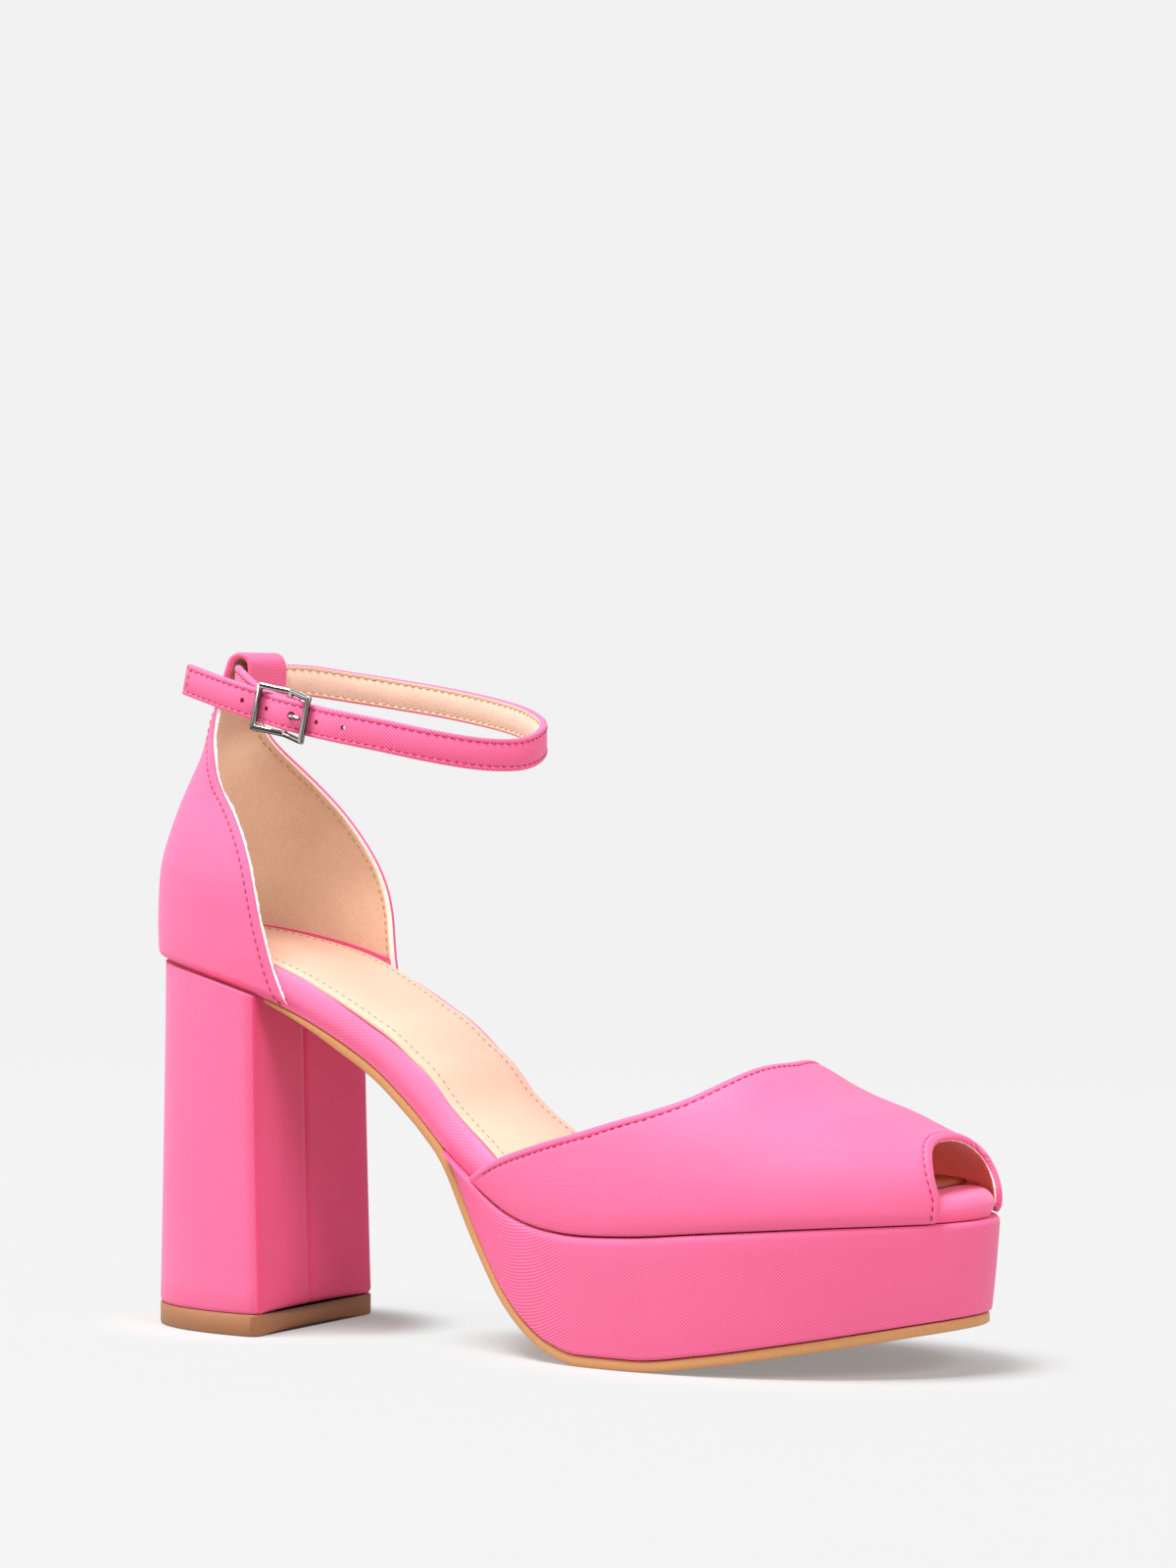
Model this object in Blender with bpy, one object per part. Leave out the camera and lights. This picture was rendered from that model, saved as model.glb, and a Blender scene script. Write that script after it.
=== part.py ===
"""Peep toe pump with an ankle strap, a covered platform and a block heel: the right shoe, on its sole.

X runs from the heel to the toe, Y to the inner side of the foot and Z up. The origin is on the floor, at
the middle of the forefoot's flat tread. Sizes are in metres. Each table holds shares of the named sizes
that its comment gives.
"""

import math

import bmesh
import bpy
import numpy as np
from mathutils import Vector

# Last: the form that the upper and the sole follow
SHOE_LENGTH = 0.228
SEAT_WIDTH = 0.051
WAIST_WIDTH = 0.044
BALL_WIDTH = 0.0775
SEAT_HEIGHT = 0.0935
PLATFORM_HEIGHT = 0.0315
TOE_SPRING = 0.0125
HEEL_CUP_LENGTH = 0.050
TOE_ROUND_LENGTH = 0.065
HEEL_FULLNESS = 2.4
TOE_FULLNESS = 1.95

# Bottom pieces
FOOTBED_THICK = 0.0078
FOOTBED_TOE_THICK = 0.0058
FOOTBED_EDGE_ROUND = 0.0018
INSOCK_THICK = 0.0010
INSOCK_INSET = 0.0028
INSOCK_TOE_INSET = 0.0150
PLATFORM_PROUD = 0.0012
PLATFORM_TAPER = 0.0018
PLATFORM_REAR = 0.0950
OUTSOLE_THICK = 0.0026
OUTSOLE_INSET = 0.0012
ARCH_BLEND = 0.0030

# Heel
HEEL_DEPTH = 0.0396
HEEL_HALF_WIDTH = 0.0284
HEEL_BACK_INSET = 0.0009
HEEL_FLARE = 0.0018
HEEL_BREAST_HOLLOW = 0.0020
HEEL_CORNER_ROUND = 0.0014
TOP_PIECE_THICK = 0.0055
EDGE_EASE = 0.0004

# Upper
UPPER_WALL = 0.0016
HEM_TUCK = 0.0010
VAMP_CREST = 0.0345
VAMP_REAR = 0.1030
VAMP_PEAK = 0.1762
VAMP_BULGE = 0.0004
TOE_OPENING_TOP = 0.2168
TOE_OPENING_FOOT = 0.2220
TOE_OPENING_SKEW = 0.0020
QUARTER_HEIGHT = 0.0635
QUARTER_LENGTH = 0.0500
TAB_WIDTH = 0.0165
TAB_LOOP_RADIUS = 0.0020
TAB_LOOP_HEIGHT = 0.0106
TAB_LEAN = 0.0042

# Strap and buckle
STRAP_WIDTH = 0.0080
STRAP_THICK = 0.0018
LOOP_LENGTH = 0.0857
LOOP_HALF_WIDTH = 0.0290
LOOP_DROP = 0.0190
BUCKLE_LENGTH = 0.0170
BUCKLE_BAR = 0.0014
BUCKLE_SIDE_ROOM = 0.0007
BUCKLE_SET_BACK = 0.0028
PRONG_RADIUS = 0.0006
PRONG_HOLE_RADIUS = 0.0013

# Room between pieces that touch
GAP = 0.0003
STATION_STEP = 0.0065

# Sections along the shoe. at: share of SHOE_LENGTH from the heel. rise: footbed, share of the seat's rise
# over the platform. spring: footbed, share of TOE_SPRING. lift: sole, share of PLATFORM_HEIGHT. tread: sole,
# share of TOE_SPRING. thin: share of the way from FOOTBED_THICK to FOOTBED_TOE_THICK. seat, outer, inner:
# share of the way from the waist's width to the seat's, and to the ball's on each side.
LAST_COLUMNS = ("at", "rise", "spring", "lift", "tread", "thin", "seat", "outer", "inner")
LAST = (
    (0.000, 1.000, 0.00, 7.20, 0.00, 0.00, 1.00, 0.00, 0.00),
    (0.053, 0.972, 0.00, 6.40, 0.00, 0.00, 1.00, 0.00, 0.00),
    (0.114, 0.926, 0.00, 5.60, 0.00, 0.00, 1.00, 0.00, 0.00),
    (0.180, 0.860, 0.00, 4.75, 0.00, 0.00, 1.00, 0.00, 0.00),
    (0.246, 0.763, 0.00, 3.75, 0.00, 0.00, 0.55, 0.00, 0.00),
    (0.316, 0.615, 0.00, 2.75, 0.00, 0.00, 0.05, 0.03, 0.00),
    (0.368, 0.448, 0.00, 2.00, 0.00, 0.00, 0.00, 0.08, 0.00),
    (0.412, 0.284, 0.00, 1.35, 0.00, 0.00, 0.00, 0.16, 0.00),
    (0.452, 0.172, 0.00, 0.80, 0.00, 0.00, 0.00, 0.27, 0.02),
    (0.491, 0.082, 0.00, 0.41, 0.00, 0.00, 0.00, 0.44, 0.12),
    (0.526, 0.036, 0.00, 0.20, 0.00, 0.00, 0.00, 0.62, 0.26),
    (0.561, 0.012, 0.00, 0.07, 0.00, 0.00, 0.00, 0.78, 0.43),
    (0.605, 0.000, 0.00, 0.00, 0.00, 0.00, 0.00, 0.93, 0.64),
    (0.675, 0.000, 0.05, 0.00, 0.00, 0.05, 0.00, 1.04, 0.90),
    (0.754, 0.000, 0.18, 0.00, 0.17, 0.22, 0.00, 1.06, 1.05),
    (0.833, 0.000, 0.29, 0.00, 0.41, 0.50, 0.00, 1.04, 1.12),
    (0.904, 0.000, 0.365, 0.00, 0.635, 0.78, 0.00, 0.99, 1.15),
    (0.956, 0.000, 0.395, 0.00, 0.80, 0.93, 0.00, 0.96, 1.13),
    (1.000, 0.000, 0.42, 0.00, 0.92, 1.00, 0.00, 0.95, 1.10),
)
TREAD_CENTRE = 0.640

# Height of the vamp's crest over the footbed's underside. at: share of SHOE_LENGTH. crest: share of
# VAMP_CREST.
CREST_COLUMNS = ("at", "crest")
CREST = (
    (0.44, 1.95),
    (0.55, 1.72),
    (0.66, 1.40),
    (0.720, 1.18),
    (0.773, 1.04),
    (0.805, 0.91),
    (0.835, 0.812),
    (0.882, 0.695),
    (0.940, 0.54),
    (0.980, 0.47),
)
VAMP_SIDE_FULLNESS = 2.6
VAMP_TOP_FULLNESS = 2.1

# Edges of the vamp. across: share of the way from the crest to a feather edge. back: topline, share of the
# way from its peak to its rear. ahead: toe opening, share of the way from its top to its foot.
EDGE_COLUMNS = ("across", "back", "ahead")
VAMP_EDGES = (
    (0.00, 0.000, 0.00),
    (0.15, 0.024, 0.08),
    (0.30, 0.062, 0.26),
    (0.45, 0.142, 0.50),
    (0.60, 0.300, 0.72),
    (0.72, 0.515, 0.90),
    (0.81, 0.710, 1.00),
    (0.91, 0.890, 1.00),
    (1.00, 1.000, 0.90),
)

# Quarter. up: share of QUARTER_HEIGHT. back, cup, outer_front, inner_front: shares of QUARTER_LENGTH, for
# the back line, the length of the cup's rounding and each front edge. half: share of the footbed's width.
QUARTER_COLUMNS = ("up", "back", "half", "cup", "outer_front", "inner_front")
QUARTER = (
    (0.00, 0.000, 1.00, 1.00, 0.99, 1.02),
    (0.05, 0.000, 1.00, 1.00, 0.94, 1.00),
    (0.11, -0.004, 1.01, 1.00, 0.90, 0.98),
    (0.19, -0.002, 1.01, 1.00, 0.86, 0.965),
    (0.28, 0.004, 1.01, 0.98, 0.82, 0.955),
    (0.36, 0.014, 1.00, 0.94, 0.79, 0.93),
    (0.44, 0.042, 0.96, 0.86, 0.750, 0.885),
    (0.52, 0.078, 0.90, 0.76, 0.693, 0.815),
    (0.62, 0.130, 0.80, 0.62, 0.595, 0.712),
    (0.72, 0.188, 0.67, 0.46, 0.457, 0.585),
    (0.80, 0.233, 0.52, 0.32, 0.385, 0.49),
    (0.90, 0.272, 0.38, 0.14, 0.340, 0.39),
    (1.00, 0.325, 0.315, 0.06, 0.352, 0.354),
)
QUARTER_ROWS = (0.013, 0.045, 0.09, 0.15, 0.23, 0.31, 0.39, 0.47, 0.55, 0.63, 0.70, 0.77, 0.84, 0.92, 1.0)
QUARTER_COLUMN_COUNT = 24

# Strap's centre line from the buckle's centre bar, back through the tab, round the ankle and on to the tail.
# along: share of LOOP_LENGTH ahead of the tab. side: share of LOOP_HALF_WIDTH, inner side positive.
# down: share of LOOP_DROP below the strap's height in the tab.
STRAP_COLUMNS = ("along", "side", "down")
STRAP = (
    (0.330, -0.835, 0.465),
    (0.270, -0.790, 0.408),
    (0.205, -0.725, 0.325),
    (0.135, -0.610, 0.208),
    (0.070, -0.450, 0.092),
    (0.014, -0.270, 0.012),
    (-0.004, 0.000, 0.000),
    (0.014, 0.270, -0.005),
    (0.085, 0.530, 0.005),
    (0.180, 0.770, 0.088),
    (0.300, 0.920, 0.179),
    (0.470, 1.000, 0.303),
    (0.640, 0.945, 0.438),
    (0.780, 0.800, 0.570),
    (0.885, 0.560, 0.702),
    (0.947, 0.290, 0.810),
    (0.971, 0.000, 0.925),
    (0.957, -0.250, 0.987),
    (0.895, -0.530, 0.972),
    (0.790, -0.780, 0.874),
    (0.650, -0.930, 0.735),
    (0.510, -0.995, 0.615),
)
TAIL_COLUMNS = ("along", "side", "down")
TAIL = (
    (0.110, -0.880, 0.200),
    (-0.060, -0.750, -0.005),
)
BUCKLE_PLACE = (0.318, -0.985, 0.445)

COLOURS = {
    "pink_twill": (0.930, 0.170, 0.400, 1.0),
    "pink_edge": (0.860, 0.130, 0.340, 1.0),
    "tan_sole": (0.560, 0.290, 0.100, 1.0),
    "insock": (0.940, 0.740, 0.580, 1.0),
    "nickel": (0.750, 0.740, 0.710, 1.0),
}


def clear_scene():
    """Empties the scene."""
    for item in list(bpy.data.objects):
        bpy.data.objects.remove(item, do_unlink=True)


def material(name, roughness, metallic=0.0):
    """A plain finish in one of the shoe's colours."""
    made = bpy.data.materials.get(name) or bpy.data.materials.new(name)
    made.use_nodes = True
    surface = made.node_tree.nodes["Principled BSDF"]
    surface.inputs["Base Color"].default_value = COLOURS[name]
    surface.inputs["Roughness"].default_value = roughness
    surface.inputs["Metallic"].default_value = metallic
    return made


def column(table, names, wanted):
    """One named column of a table."""
    place = names.index(wanted)
    return np.array([row[place] for row in table], float)


def curve_through(at, values):
    """A smooth function through the points, which never swings past them."""
    step = np.diff(at)
    rate = np.diff(values) / step
    slope = np.concatenate(([rate[0]], np.zeros(len(at) - 2), [rate[-1]]))
    for i in range(1, len(at) - 1):
        if rate[i - 1] * rate[i] > 0:
            before = 2 * step[i] + step[i - 1]
            after = step[i] + 2 * step[i - 1]
            slope[i] = (before + after) / (before / rate[i - 1] + after / rate[i])

    def value(x):
        i = int(np.clip(np.searchsorted(at, x) - 1, 0, len(at) - 2))
        t = (min(max(x, at[0]), at[-1]) - at[i]) / step[i]
        rising = t * t * (3 - 2 * t)
        bend = step[i] * (slope[i] * t * (1 - t) ** 2 - slope[i + 1] * t * t * (1 - t))
        return float(values[i] * (1 - rising) + values[i + 1] * rising + bend)

    return value


def curve_along(table, names, wanted):
    """A column of a table of shares of SHOE_LENGTH, as a function of the distance from the heel."""
    return curve_through(column(table, names, "at") * SHOE_LENGTH, column(table, names, wanted))


RISE = curve_along(LAST, LAST_COLUMNS, "rise")
SPRING = curve_along(LAST, LAST_COLUMNS, "spring")
LIFT = curve_along(LAST, LAST_COLUMNS, "lift")
TREAD = curve_along(LAST, LAST_COLUMNS, "tread")
THIN = curve_along(LAST, LAST_COLUMNS, "thin")
SEAT = curve_along(LAST, LAST_COLUMNS, "seat")
SIDE = {-1: curve_along(LAST, LAST_COLUMNS, "outer"), 1: curve_along(LAST, LAST_COLUMNS, "inner")}
CREST_AT = curve_along(CREST, CREST_COLUMNS, "crest")


def rounded(share, fullness):
    """Width of a rounded end, from 0 at its tip to 1 where it is full."""
    inside = 1 - min(max(share, 0.0), 1.0)
    return (1 - inside**fullness) ** (1 / fullness)


def full_width(x, side):
    """Half width of the footbed before its ends are rounded. side is -1 outer, 1 inner."""
    seat = SEAT(x) * (SEAT_WIDTH - WAIST_WIDTH) / 2
    ball = SIDE[side](x) * (BALL_WIDTH - WAIST_WIDTH) / 2
    return WAIST_WIDTH / 2 + seat + ball


def half_width(x, side):
    """Half width of the footbed at a distance from the heel."""
    heel = rounded(x / HEEL_CUP_LENGTH, HEEL_FULLNESS)
    toe = rounded((SHOE_LENGTH - x) / TOE_ROUND_LENGTH, TOE_FULLNESS)
    return full_width(x, side) * heel * toe


def footbed_under(x):
    """Height of the footbed's underside."""
    return PLATFORM_HEIGHT + RISE(x) * (SEAT_HEIGHT - PLATFORM_HEIGHT) + SPRING(x) * TOE_SPRING


def steepness(height, x):
    """Length along a sloping line for each unit across it."""
    probe = 0.001
    return math.hypot(1, (height(x + probe) - height(x - probe)) / (2 * probe))


def sole_under(x):
    """Height of the outsole's underside: along the footbed's arch, down to the floor and up at the toe."""
    along_arch = footbed_under(x) - (GAP + OUTSOLE_THICK) * steepness(footbed_under, x)
    ground = LIFT(x) * PLATFORM_HEIGHT + TREAD(x) * TOE_SPRING
    nearness = max(0.0, 1 - abs(along_arch - ground) / ARCH_BLEND)
    return min(along_arch, ground) - ARCH_BLEND * nearness**2 / 4


def sole_top(x):
    """Height of the outsole's upper face."""
    return sole_under(x) + OUTSOLE_THICK * steepness(sole_under, x)


def stations(start, end, round_start, round_end):
    """Distances from the heel at which a bottom piece has an edge, closer together at its rounded ends."""
    zone = 2.6 * STATION_STEP
    turns = [1 - math.cos(math.radians(90 * k / 7)) for k in range(1, 8)]
    first = [start] + [start + zone * t for t in turns] if round_start else [start]
    last = [end] + [end - zone * t for t in turns] if round_end else [end]
    low = math.ceil((first[-1] + STATION_STEP / 3) / STATION_STEP)
    high = math.floor((last[-1] - STATION_STEP / 3) / STATION_STEP)
    return first + [k * STATION_STEP for k in range(low, high + 1)] + last[::-1]


def outline(start, end, round_start, round_end, width):
    """Plan of a bottom piece as pairs of points, outer and inner, from its rear to its front."""
    pairs = []
    for x in stations(start, end, round_start, round_end):
        pairs.append([(x, -width(x, -1)), (x, width(x, 1))])
    return np.array(pairs)


def inset_outline(pairs, inset):
    """The same plan drawn in by a distance, or out by a negative one. A pair's points stay level."""
    closed_start = np.allclose(pairs[0, 0], pairs[0, 1])
    closed_end = np.allclose(pairs[-1, 0], pairs[-1, 1])
    loop = np.concatenate((pairs[:, 0], pairs[::-1, 1]))
    if closed_start:
        loop = loop[:-1]
    if closed_end:
        loop = np.delete(loop, len(pairs), axis=0)
    before = np.roll(loop, 1, axis=0)
    after = np.roll(loop, -1, axis=0)
    back = (loop - before) / np.linalg.norm(loop - before, axis=1)[:, None]
    ahead = (after - loop) / np.linalg.norm(after - loop, axis=1)[:, None]
    inward_back = np.stack((-back[:, 1], back[:, 0]), axis=1)
    inward_ahead = np.stack((-ahead[:, 1], ahead[:, 0]), axis=1)
    bisector = inward_back + inward_ahead
    scale = 2 / np.maximum(np.sum(bisector * bisector, axis=1), 0.6)
    moved = loop + bisector * scale[:, None] * inset
    outer = moved[: len(pairs)]
    rest = moved[len(pairs) :][::-1]
    if closed_end:
        rest = np.concatenate((rest, moved[len(pairs) - 1 : len(pairs)]))
    if closed_start:
        rest = np.concatenate((moved[:1], rest))
    made = np.stack((outer, rest), axis=1)
    made[:, :, 0] = made[:, :, 0].mean(axis=1, keepdims=True)
    return made


def to_frame(point):
    """Moves a point from the heel's measure to the shoe's origin."""
    return (point[0] - TREAD_CENTRE * SHOE_LENGTH, point[1], point[2])


def node(name, points, faces, finish, crease=35.0):
    """A closed solid as an object, with its faces pointing out."""
    mesh = bpy.data.meshes.new(name)
    shape = bmesh.new()
    verts = [shape.verts.new(to_frame(p)) for p in points]
    for face in faces:
        shape.faces.new([verts[i] for i in face])
    bmesh.ops.recalc_face_normals(shape, faces=shape.faces)
    shape.to_mesh(mesh)
    shape.free()
    mesh.shade_smooth()
    mesh.set_sharp_from_angle(angle=math.radians(crease))
    mesh.materials.append(finish)
    made = bpy.data.objects.new(name, mesh)
    bpy.context.scene.collection.objects.link(made)
    return made


def layered_slab(name, rings, finish):
    """A slab from plans stacked upwards. A ring is one plan with its heights, as pairs of points."""
    points = []
    loops = []
    for ring in rings:
        pairs = [(tuple(outer), tuple(inner)) for outer, inner in ring]
        loop = [outer for outer, inner in pairs] + [inner for outer, inner in pairs[::-1]]
        kept = loop[:1] + [p for k, p in enumerate(loop) if k and not np.allclose(p, loop[k - 1], atol=1e-9)]
        if np.allclose(kept[0], kept[-1], atol=1e-9):
            kept.pop()
        loops.append(list(range(len(points), len(points) + len(kept))))
        points += kept
    faces = []
    for low, high in zip(loops[:-1], loops[1:]):
        for k in range(len(low)):
            n = (k + 1) % len(low)
            faces.append((low[k], low[n], high[n], high[k]))
    sharp_start = np.allclose(rings[0][0][0], rings[0][0][1])
    for loop, turn in ((loops[0], -1), (loops[-1], 1)):
        faces += strips_across(loop, len(rings[0]), sharp_start, turn)
    return node(name, points, faces, finish)


def strips_across(loop, count, sharp_start, turn):
    """Faces that close a loop with strips from side to side."""
    outer = loop[:count]
    inner = loop[count:][::-1]
    if sharp_start:
        inner = [outer[0]] + inner
    if len(inner) < count:
        inner = inner + [outer[-1]]
    faces = []
    for k in range(count - 1):
        corners = (outer[k], outer[k + 1], inner[k + 1], inner[k])
        unique = [c for i, c in enumerate(corners) if c not in corners[:i]]
        faces.append(unique[::turn])
    return faces


def ring_at(pairs, inset, height):
    """A plan drawn in by inset, with height(x) at each point."""
    moved = inset_outline(pairs, inset)
    return [[(p[0], p[1], height(p[0])) for p in pair] for pair in moved]


def footbed_at(share):
    """Height, as a function of the distance from the heel, of a level between the footbed's two faces."""

    def height(x):
        thick = FOOTBED_THICK + THIN(x) * (FOOTBED_TOE_THICK - FOOTBED_THICK)
        return footbed_under(x) + share * thick * steepness(footbed_under, x)

    return height


def make_footbed():
    """Insole board, wrapped, with rounded edges."""
    pairs = outline(0.0, SHOE_LENGTH, True, True, half_width)
    profile = (
        (0.00, HEM_TUCK),
        (0.14, HEM_TUCK * 0.75),
        (0.35, HEM_TUCK * 0.15),
        (0.58, FOOTBED_EDGE_ROUND * 0.15),
        (0.82, FOOTBED_EDGE_ROUND * 0.50),
        (1.00, FOOTBED_EDGE_ROUND),
    )
    rings = [ring_at(pairs, inset, footbed_at(share)) for share, inset in profile]
    return layered_slab("footbed", rings, material("pink_edge", 0.62))


def make_insock():
    """Thin sheet on the footbed's flat strips, from the heel to short of the toe opening."""
    plan = outline(0.0, SHOE_LENGTH, True, True, half_width)
    board = [outer for outer, inner in ring_at(plan, FOOTBED_EDGE_ROUND, footbed_at(1.0))]
    board_at = [x for x, y, z in board]
    board_height = [z for x, y, z in board]
    limit = SHOE_LENGTH - INSOCK_TOE_INSET
    pairs = [pair for pair in inset_outline(plan, INSOCK_INSET) if pair[0, 0] < limit]
    rings = []
    for rise in (GAP, GAP + INSOCK_THICK):
        ring = []
        for pair in pairs:
            x = pair[0, 0]
            z = np.interp(x, board_at, board_height) + rise * steepness(footbed_under, x)
            ring.append([(x, y, float(z)) for y in pair[:, 1]])
        rings.append(ring)
    return layered_slab("insock", rings, material("insock", 0.55))


def platform_top(x):
    """Height of the platform's upper face."""
    return footbed_under(x) - GAP * steepness(footbed_under, x)


def platform_under(x):
    """Height of the platform's underside."""
    return sole_top(x) + GAP * steepness(sole_under, x)


def make_platform():
    """Covered block under the forefoot, a thin wedge at its rear."""
    pairs = outline(PLATFORM_REAR, SHOE_LENGTH, False, True, half_width)
    profile = (
        (0.00, PLATFORM_TAPER + EDGE_EASE),
        (0.05, PLATFORM_TAPER),
        (0.50, PLATFORM_TAPER * 0.4),
        (0.94, 0.0),
        (1.00, EDGE_EASE),
    )
    rings = []
    for share, inset in profile:

        def height(x):
            return platform_under(x) * (1 - share) + platform_top(x) * share

        rings.append(ring_at(pairs, inset - PLATFORM_PROUD, height))
    return layered_slab("platform", rings, material("pink_twill", 0.6))


def make_outsole():
    """Thin unit from the heel's breast, along the arch and under the platform."""
    pairs = outline(HEEL_DEPTH + GAP, SHOE_LENGTH, False, True, half_width)
    rings = []
    for share, inset in ((0.0, EDGE_EASE), (0.2, 0.0), (0.8, 0.0), (1.0, EDGE_EASE)):

        def height(x):
            return sole_under(x) + share * OUTSOLE_THICK * steepness(sole_under, x)

        rings.append(ring_at(pairs, OUTSOLE_INSET + inset, height))
    return layered_slab("outsole", rings, material("tan_sole", 0.55))


def heel_plan(flare, inset):
    """Plan of the heel: a full round back, straight sides and a hollow breast with rounded corners."""
    back = HEEL_BACK_INSET - flare + inset
    front = HEEL_DEPTH + flare - inset
    half = HEEL_HALF_WIDTH - inset
    sides = []
    steps = 12
    for k in range(1, steps + 1):
        x = back + (front - HEEL_CORNER_ROUND - back) * (k / steps) ** 2
        sides.append((x, half * rounded((x - back) / HEEL_CUP_LENGTH, HEEL_FULLNESS)))
    side_end = sides[-1][1]
    corner = []
    for k in range(1, 4):
        turn = math.radians(30 * k)
        reach = HEEL_CORNER_ROUND * math.sin(turn)
        corner.append((sides[-1][0] + reach, side_end - HEEL_CORNER_ROUND * (1 - math.cos(turn))))
    breast = []
    breast_half = corner[-1][1]
    for k in (-2, -1, 0, 1, 2):
        y = breast_half * k / 3
        breast.append((front - HEEL_BREAST_HOLLOW * math.cos(math.pi / 2 * k / 3), y))
    outer = [(x, -y) for x, y in sides + corner]
    inner = [(x, y) for x, y in (sides + corner)[::-1]]
    return [(back, 0.0)] + outer + breast + inner


def make_heel_piece(name, levels, height_at_top, finish):
    """A piece of the heel between the first level and a top that may follow the footbed."""
    points = []
    loops = []
    for height, flare, inset in levels:
        plan = heel_plan(flare, inset)
        loops.append(list(range(len(points), len(points) + len(plan))))
        if height is None:
            points += [(x, y, height_at_top(x)) for x, y in plan]
        else:
            points += [(x, y, height) for x, y in plan]
    faces = []
    for low, high in zip(loops[:-1], loops[1:]):
        for k in range(len(low)):
            n = (k + 1) % len(low)
            faces.append((low[k], low[n], high[n], high[k]))
    side = 15
    for loop, turn in ((loops[0], -1), (loops[-1], 1)):
        for k in range(side):
            mirror = len(loop) - k
            corners = [loop[k], loop[k + 1], loop[mirror - 1], loop[mirror % len(loop)]]
            unique = [c for i, c in enumerate(corners) if c not in corners[:i]]
            faces.append(unique[::turn])
        faces.append(loop[side : len(loop) - side + 1][::turn])
    return node(name, points, faces, finish)


def make_heel():
    """Covered block and the wear piece under it."""

    def under_footbed(x):
        return footbed_under(x) - GAP * steepness(footbed_under, x)

    levels = (
        (TOP_PIECE_THICK + GAP, HEEL_FLARE, 0.0),
        (SEAT_HEIGHT * 0.45, HEEL_FLARE * 0.45, 0.0),
        (None, 0.0, 0.0),
    )
    block = make_heel_piece("heel_block", levels, under_footbed, material("pink_twill", 0.6))
    levels = (
        (0.0, HEEL_FLARE, EDGE_EASE),
        (EDGE_EASE, HEEL_FLARE, 0.0),
        (TOP_PIECE_THICK, HEEL_FLARE, 0.0),
    )
    top_piece = make_heel_piece("heel_top_piece", levels, under_footbed, material("tan_sole", 0.5))
    return block, top_piece


def grid_normals(grid):
    """Unit normals of a grid of points, pointing out where its rows run forwards or upwards."""
    down = np.gradient(grid, axis=0)
    across = np.gradient(grid, axis=1)
    normal = np.cross(down, across)
    return normal / np.linalg.norm(normal, axis=2)[:, :, None]


def make_wall(name, base, wall, finish):
    """A wall of cloth and lining on a grid of points, open wherever the grid ends."""
    normal = grid_normals(base)
    inner = base + normal * GAP
    outer = base + normal * (GAP + wall[:, :, None])
    rows, columns = base.shape[:2]
    points = np.concatenate((inner.reshape(-1, 3), outer.reshape(-1, 3)))
    lift = rows * columns

    def at(r, c):
        return r * columns + c

    faces = []
    for r in range(rows - 1):
        for c in range(columns - 1):
            quad = (at(r, c), at(r, c + 1), at(r + 1, c + 1), at(r + 1, c))
            faces.append(quad)
            faces.append(tuple(i + lift for i in quad[::-1]))
    rim = [at(0, c) for c in range(columns)]
    rim += [at(r, columns - 1) for r in range(1, rows)]
    rim += [at(rows - 1, c) for c in range(columns - 2, -1, -1)]
    rim += [at(r, 0) for r in range(rows - 2, 0, -1)]
    for k in range(len(rim)):
        n = (k + 1) % len(rim)
        faces.append((rim[k], rim[k] + lift, rim[n] + lift, rim[n]))
    return node(name, [tuple(p) for p in points], faces, finish)


def vamp_point(x, across):
    """A point of the vamp's inner face. across runs from -1 at the outer feather edge to 1."""
    side = -1 if across < 0 else 1
    turn = abs(across) * math.pi / 2
    half = half_width(x, side)
    rise = VAMP_CREST * CREST_AT(x)
    bulge = VAMP_BULGE * 3 * math.sin(turn) ** 3 * math.cos(turn)
    y = side * (half * math.sin(turn) ** (2 / VAMP_SIDE_FULLNESS) + bulge)
    z = footbed_under(x) + rise * max(math.cos(turn), 0.0) ** (2 / VAMP_TOP_FULLNESS)
    return (x, y, z)


def make_vamp():
    """Forefoot piece: hollow, open at the throat, at the toe and underneath."""
    across_steps = 28
    along_steps = 15
    base = np.zeros((along_steps + 1, across_steps + 1, 3))
    places = column(VAMP_EDGES, EDGE_COLUMNS, "across")
    edge_back = curve_through(places, column(VAMP_EDGES, EDGE_COLUMNS, "back"))
    edge_ahead = curve_through(places, column(VAMP_EDGES, EDGE_COLUMNS, "ahead"))
    for c in range(across_steps + 1):
        across = 2 * c / across_steps - 1
        rear = VAMP_PEAK - (VAMP_PEAK - VAMP_REAR) * edge_back(abs(across))
        foot = TOE_OPENING_FOOT + (TOE_OPENING_SKEW if across > 0 else 0.0)
        front = TOE_OPENING_TOP + (foot - TOE_OPENING_TOP) * edge_ahead(abs(across))
        for r in range(along_steps + 1):
            share = r / along_steps
            closer_ahead = (share + math.sin(share * math.pi / 2)) / 2
            base[r, c] = vamp_point(rear + (front - rear) * closer_ahead, across)
    wall = np.full(base.shape[:2], UPPER_WALL)
    wall[:, [0, -1]] = UPPER_WALL * 0.6
    return make_wall("vamp", base, wall, material("pink_twill", 0.6))


QUARTER_CURVES = {
    name: curve_through(column(QUARTER, QUARTER_COLUMNS, "up"), column(QUARTER, QUARTER_COLUMNS, name))
    for name in QUARTER_COLUMNS[1:]
}


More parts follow.
